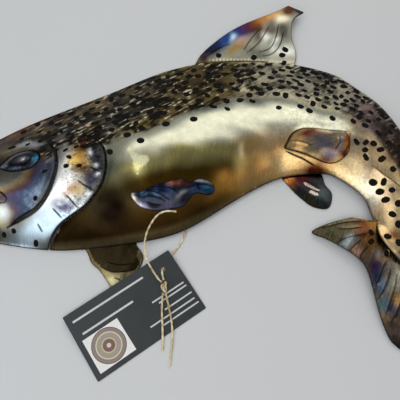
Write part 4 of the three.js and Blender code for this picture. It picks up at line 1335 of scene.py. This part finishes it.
def far_lobe(name, node, edge, rays, seed, clouds, ground, patches):
    """A lobe lying on the table, with its ray slits: flat, but for small dents. Over its
    clouds lie patches, each a colour and a polygon."""
    cut = evenly(edge, FIN_GRAIN, closed=True)
    flat = fin_flat(cut, rays, RAY_WIDE, seed)
    plan = flat[0]
    height = FIN_SHEET + 0.15 * MM * (1 + beaten(*plan.T, 8 * MM, seed + 30))
    height += 0.6 * MM * smooth(distance(plan, cut), 0, 7 * MM)
    tone = colour_clouds(linear(ground), *plan.T, clouds)
    for code, polygon in patches:
        tone = lay_on(tone, code, 0.85 * inside(plan, polygon))
    fin_piece(name, [node], flat, height, tone, 0.3, 70, 0.26, 0.8)


far_lobe(
    "far_pectoral_sheet", "far_pectoral_fin", FAR_PECTORAL, FAR_PECTORAL_RAYS, 5,
    [
        ("#6a5230", (-70, -66), (4, 12), 0, 0.9),
        ("#96865a", (-60, -87), (5, 7), 30, 0.9),
        ("#b8ae82", (-50, -91), (8, 5), 0, 1.0),
    ],
    "#6c5e3c",
    [("#120d06", evenly(FAR_PECTORAL_DARK, 1 * MM, closed=True))],
)
far_lobe(
    "far_pelvic_sheet", "far_pelvic_fin", FAR_PELVIC, FAR_PELVIC_RAYS, 6,
    [
        ("#ff9c50", (86, -7), (5, 10), -20, 1.2),
        ("#4a1a1e", (96, -8), (7, 5), 0, 1.3),
        ("#4c5458", (111, -22), (6, 6), 0, 0.8),
        ("#3c3a20", (101, -27), (10, 4), -30, 0.8),
    ],
    "#303234",
    [("#e6d2c8", slit(bar, 2.6 * MM)) for bar in FAR_PELVIC_BARS],
)

# ---- Tail fin ----
# One forked sheet welded behind the body's end. Its rays are long torch slits, and the
# blades between them run from gold at the root through purple and blue to dark brown.
TAIL_ROOT = (160, -66)
TAIL_SEAM = [(148.1, -47.2), (150.5, -56), (157.5, -69), (169.6, -88.2)]
TAIL_FREE = [
    (176, -99), (184.5, -118), (190, -145), (193, -167), (190.5, -171), (184, -168), (170, -154),
    (153, -138), (147, -131), (142, -115), (139, -97), (136, -83), (130, -74), (117, -64),
    (105, -57), (101, -52.5), (118, -46), (131, -43.5),
]
TAIL_RAYS = [
    [(107, -51), (116, -49), (126, -47), (137, -47)],
    [(119, -52), (127, -52.5), (137, -51.5)],
    [(141, -56), (132, -58), (123, -60), (117, -63)],
    [(134, -62), (128, -67), (125, -70)],
    [(139, -67), (134, -72), (133, -75), (135, -80)],
    [(151, -78), (147, -84), (141, -96)],
    [(153, -84), (149, -94), (142, -105)],
    [(157, -88), (154, -98), (149, -109), (146, -116)],
    [(160, -93), (158, -104), (154, -114), (149, -121)],
    [(165, -100), (163, -112), (157, -126)],
    [(171, -106), (169, -120), (163, -138)],
    [(177, -114), (177, -130), (173, -150)],
]
TAIL_RAY_WIDE, TAIL_HOLE = 0.45 * MM, 2.5 * MM
TAIL_HOLES = [(143, -56), (142, -63), (152, -72), (153, -61)]


def tail_height(x, y):
    """The tail sheet's top: 9.2 mm up at its root, falling as an S-curve to the sheet's
    own thickness 88 mm away."""
    away = np.hypot(x - TAIL_ROOT[0] * MM, y - TAIL_ROOT[1] * MM)
    return FIN_SHEET + 8 * MM * (1 - smooth(away, 12 * MM, 88 * MM))


tail_cut = np.concatenate([np.array(TAIL_SEAM) * MM, evenly(TAIL_FREE, FIN_GRAIN)])
hole_draw = np.random.default_rng(9)
tail_holes = [round_hole(a * MM, b * MM, TAIL_HOLE, hole_draw) for a, b in TAIL_HOLES]
tail = fin_flat(tail_cut, TAIL_RAYS, TAIL_RAY_WIDE, 7, tail_holes)
x, y = tail[0].T
tail_top = tail_height(x, y) + 0.25 * MM * beaten(x, y, 9 * MM, 33)
tail_top += lips(tail[0], [(ray, 0.5, 3) for ray in TAIL_RAYS])
tail_top = np.maximum(tail_top, FIN_SHEET)
wx = x + 1.5 * MM * beaten(x, y, 10 * MM, 34)
wy = y + 1.5 * MM * beaten(x, y, 10 * MM, 35)
tail_tone = colour_clouds(linear("#766850"), wx, wy, [
    ("#5a573f", (114, -53), (14, 7), 0, 1.0),
    ("#8a4a2a", (138, -49), (5, 4), 0, 1.0),
    ("#94682c", (146, -49), (6, 7), 0, 1.1),
    ("#74361a", (138, -57), (6, 4), 0, 1.0),
    ("#8c5a22", (141, -65), (7, 6), 0, 1.0),
    ("#7a5c28", (150, -63), (6, 7), 0, 0.9),
    # a pale blue painted highlight
    ("#dfeef0", (127, -63), (5, 3), 35, 1.2),
    ("#7ea0a4", (120, -66), (4, 3), 35, 1.0),
    ("#d8a48c", (129, -70), (4, 4), 40, 1.0),
    ("#b8945c", (152, -75), (8, 7), -30, 1.0),
    ("#8a8696", (146, -73), (3, 3), 0, 0.9),
    ("#3e2450", (144, -82), (7, 5), 0, 1.3),
    ("#22345e", (143, -89), (5, 5), 0, 1.2),
    ("#3a6498", (146, -96), (5, 4), 0, 1.1),
    ("#3c3a66", (149.5, -101), (4, 3.5), 0, 1.1),
    ("#8a8668", (141, -104), (4, 7), 10, 0.8),
    ("#4c7c90", (146, -107), (5, 4), 0, 1.1),
    ("#2f3c6c", (153, -111), (6, 4), 20, 1.1),
    ("#f0e6c8", (160, -90), (9, 12), -25, 1.3),
    ("#c99c54", (155, -106), (4, 5), 0, 0.9),
    ("#3a302c", (151, -124), (8, 8), 0, 1.1),
    ("#3f383a", (158, -138), (14, 12), 0, 1.2),
    ("#483d3a", (178, -140), (14, 28), 10, 1.1),
])
fin_piece(
    "tail_fin_sheet", ["tail_fin_upper_lobe", "tail_fin_lower_lobe"], tail, tail_top, tail_tone,
    0.4, 65, 0.25, 0.9, "tail",
)

# Black floors of painted shade under the tail's holes.
rims = np.array(tail_holes)
tops = tail_height(*rims.reshape(-1, 2).T).reshape(rims.shape[:2])
hole_shade_floors("tail_hole_shade", rims, tops)

# ---- Tag card ----
# A stiff charcoal card, 89 by 51 mm, punched with one hole for the twine. Plain pale
# rules stand in for its print, and a white square carries a round plain medallion.
CARD_SIZE = (89 * MM, 51 * MM)
CARD_THICK = 0.5 * MM
CARD_PLACE = (-18.5 * MM, -135.2 * MM)
CARD_TURN = math.radians(33.9)
CARD_TILT = math.radians(3.6)
CARD_HOLE = (33 * MM, 40.8 * MM, 2.2 * MM)
CARD_CORNER = 0.5 * MM
PRINT_THICK = 0.06 * MM
PRINT_LIFT = 0.02 * MM
# Rules: left end, length and middle height on the card, and width, in millimetres.
CARD_RULES = [
    (-40, 58, 44.0, 1.5), (-38, 41, 33.2, 1.5),
    (14, 27, 24.6, 1.1), (18, 23.5, 21.7, 1.1), (19, 23, 15.4, 1.1), (4, 37.5, 10.7, 1.1),
    (12, 30.5, 6.8, 1.1),
]
LABEL_CORNERS = [(-40.5, 3.5), (-12, 3.7), (-12.5, 29.5), (-40.6, 29.4)]
MEDALLION_PLACE = (-26.4, 16.6)
MEDALLION_RINGS = [
    (12.4, "#5b4a44"), (11.9, "#8f7f7c"), (9.4, "#d9d9a2"), (8.6, "#a69896"), (5.2, "#c8cf86"),
    (4.4, "#7d5a5a"), (1.6, "#d8d2c6"),
]


def on_card(points):
    """Card places (from the middle of its lower edge) as places in the frame: tilted
    about its lower edge, turned about the vertical, then moved."""
    x, y, z = np.moveaxis(points, -1, 0)
    tip_c, tip_s = math.cos(CARD_TILT), math.sin(CARD_TILT)
    y, z = y * tip_c - z * tip_s, y * tip_s + z * tip_c
    turn_c, turn_s = math.cos(CARD_TURN), math.sin(CARD_TURN)
    plan = CARD_PLACE[0] + x * turn_c - y * turn_s, CARD_PLACE[1] + x * turn_s + y * turn_c
    return np.stack([*plan, z], axis=-1)


def card_stock(name, code, speck, roughness):
    """Coated card: a smooth pressed surface with faint fibres and a dull satin gloss."""
    material, tree, shader, where = new_finish(name)
    # Paper fibres are finer than this 1.2 mm, which is as fine as shows.
    fibre = add(tree, "TexNoise", {"Vector": where, "Scale": 1 / (1.2 * MM), "Detail": 3.0})
    patch = add(tree, "TexNoise", {"Vector": where, "Scale": 1 / (25 * MM)})
    both = add(tree, "Math", (fibre, patch), operation="ADD")
    mix = {0: add(tree, "MapRange", (both, 0.8, 1.2)), 6: colour(code), 7: colour(speck)}
    relief = {"Height": fibre, "Strength": 0.2, "Distance": 0.03 * MM}
    feed(tree, shader, {
        "Base Color": add(tree, "Mix", mix, data_type="RGBA"),
        "Normal": add(tree, "Bump", relief), "Roughness": roughness,
    })
    return material


def flat_print(name, shapes, height, finish):
    """Thin print on the card: outlines of equal points, each raised to a prism."""
    level = np.full(np.shape(shapes)[:2], height)
    high, low = (on_card(np.dstack([shapes, z])) for z in (level + PRINT_THICK, level))
    prisms(name, high, low, finish)


half, tall = CARD_SIZE[0] / 2, CARD_SIZE[1]
nick = CARD_CORNER
card_outline = np.array([
    (-half + nick, 0), (half - nick, 0), (half, nick), (half, tall - nick), (half - nick, tall),
    (-half + nick, tall), (-half, tall - nick), (-half, nick),
])
turn = np.linspace(0, 2 * np.pi, 36, endpoint=False)
circle = np.stack([np.cos(turn), np.sin(turn)], axis=1)
card_hole = np.array(CARD_HOLE[:2]) + CARD_HOLE[2] * circle
card_plan, card_triangles = cut_flat(card_outline, [card_hole], 4 * MM, 8)
charcoal = card_stock("coated_charcoal_card", "#23292b", "#2b3133", 0.42)
card_core = card_stock("grey_card_core", "#4c4c4e", "#5a5a5a", 0.8)
card = plate(
    "tag_card_sheet", card_plan, card_triangles, np.full(len(card_plan), CARD_THICK), CARD_THICK,
    [charcoal, card_core], {}, melted=0.04 * MM, put=on_card,
)
hand_over(card, ["tag_card"])

rules = [
    np.array([(left, mid - wide / 2), (left + long, mid - wide / 2), (left + long, mid + wide / 2),
              (left, mid + wide / 2)]) * MM
    for left, long, mid, wide in CARD_RULES
]
level = CARD_THICK + PRINT_LIFT
flat_print("card_rules", rules, level, card_stock("white_ink", "#d9dadb", "#c9cacc", 0.5))
label = np.array(LABEL_CORNERS) * MM
flat_print("card_label", [label], level, card_stock("white_label", "#f4f4f2", "#ebebe8", 0.4))
for number, (radius, code) in enumerate(MEDALLION_RINGS):
    disc = (np.array(MEDALLION_PLACE) + radius * circle) * MM
    ink = card_stock("medallion_ink_" + str(number), code, code, 0.45)
    flat_print("medallion_disc_" + str(number), [disc], level + (number + 1) * PRINT_THICK, ink)

# ---- Floor ----
# A plain pale table top under the fish. It is no part of the object.
FLOOR_HALF = 1.6
floor = mesh_piece(
    "Floor",
    np.array([(-1, -1, 0), (1, -1, 0), (1, 1, 0), (-1, 1, 0)]) * FLOOR_HALF,
    [[0, 1, 2, 3]],
)
floor_finish = bpy.data.materials.new("pale_floor")
floor_finish.use_nodes = True
floor_tree = floor_finish.node_tree
floor_look = {"Base Color": colour("#d6d8da"), "Roughness": 0.8}
feed(floor_tree, floor_tree.nodes["Principled BSDF"], floor_look)
floor.data.materials.append(floor_finish)

# ---- Light ----
# A wide soft box beyond the fish's back lights the flank. One overhead, one at the head
# and a small one at the belly fill in, in a dim room.
LIGHTS = [
    ("Softbox", (0.14, 0.64, 0.64), (1.35, 0.68), 3.2, "#fffdf0"),
    ("Overhead", (-0.36, 0.03, 0.88), (0.55, 0.6), 1.05, "#fbfcff"),
    ("Head_fill", (-0.50, -0.40, 0.62), (0.8, 0.7), 2.0, "#f4f8ff"),
    ("Belly_fill", (0.14, -0.45, 0.62), (0.7, 0.34), 1.0, "#fff6e4"),
]
LIT_PLACE = (0.02, 0.0, 0.0)
for light_name, place, size, power, code in LIGHTS:
    lamp = bpy.data.lights.new(light_name, "AREA")
    lamp.shape = "RECTANGLE"
    lamp.size, lamp.size_y = size
    lamp.energy = power
    lamp.color = linear(code)
    light = bpy.data.objects.new(light_name, lamp)
    bpy.context.scene.collection.objects.link(light)
    light.location = place
    aim = np.array(LIT_PLACE) - np.array(place)
    turn_z = math.atan2(aim[1], aim[0])
    tip = math.atan2(-aim[2], math.hypot(aim[0], aim[1]))
    light.rotation_euler = (math.pi / 2 - tip, 0, turn_z - math.pi / 2)

world = bpy.data.worlds.new("Room")
world.use_nodes = True
feed(world.node_tree, world.node_tree.nodes["Background"], (colour("#d3d7de"), 0.42))
bpy.context.scene.world = world
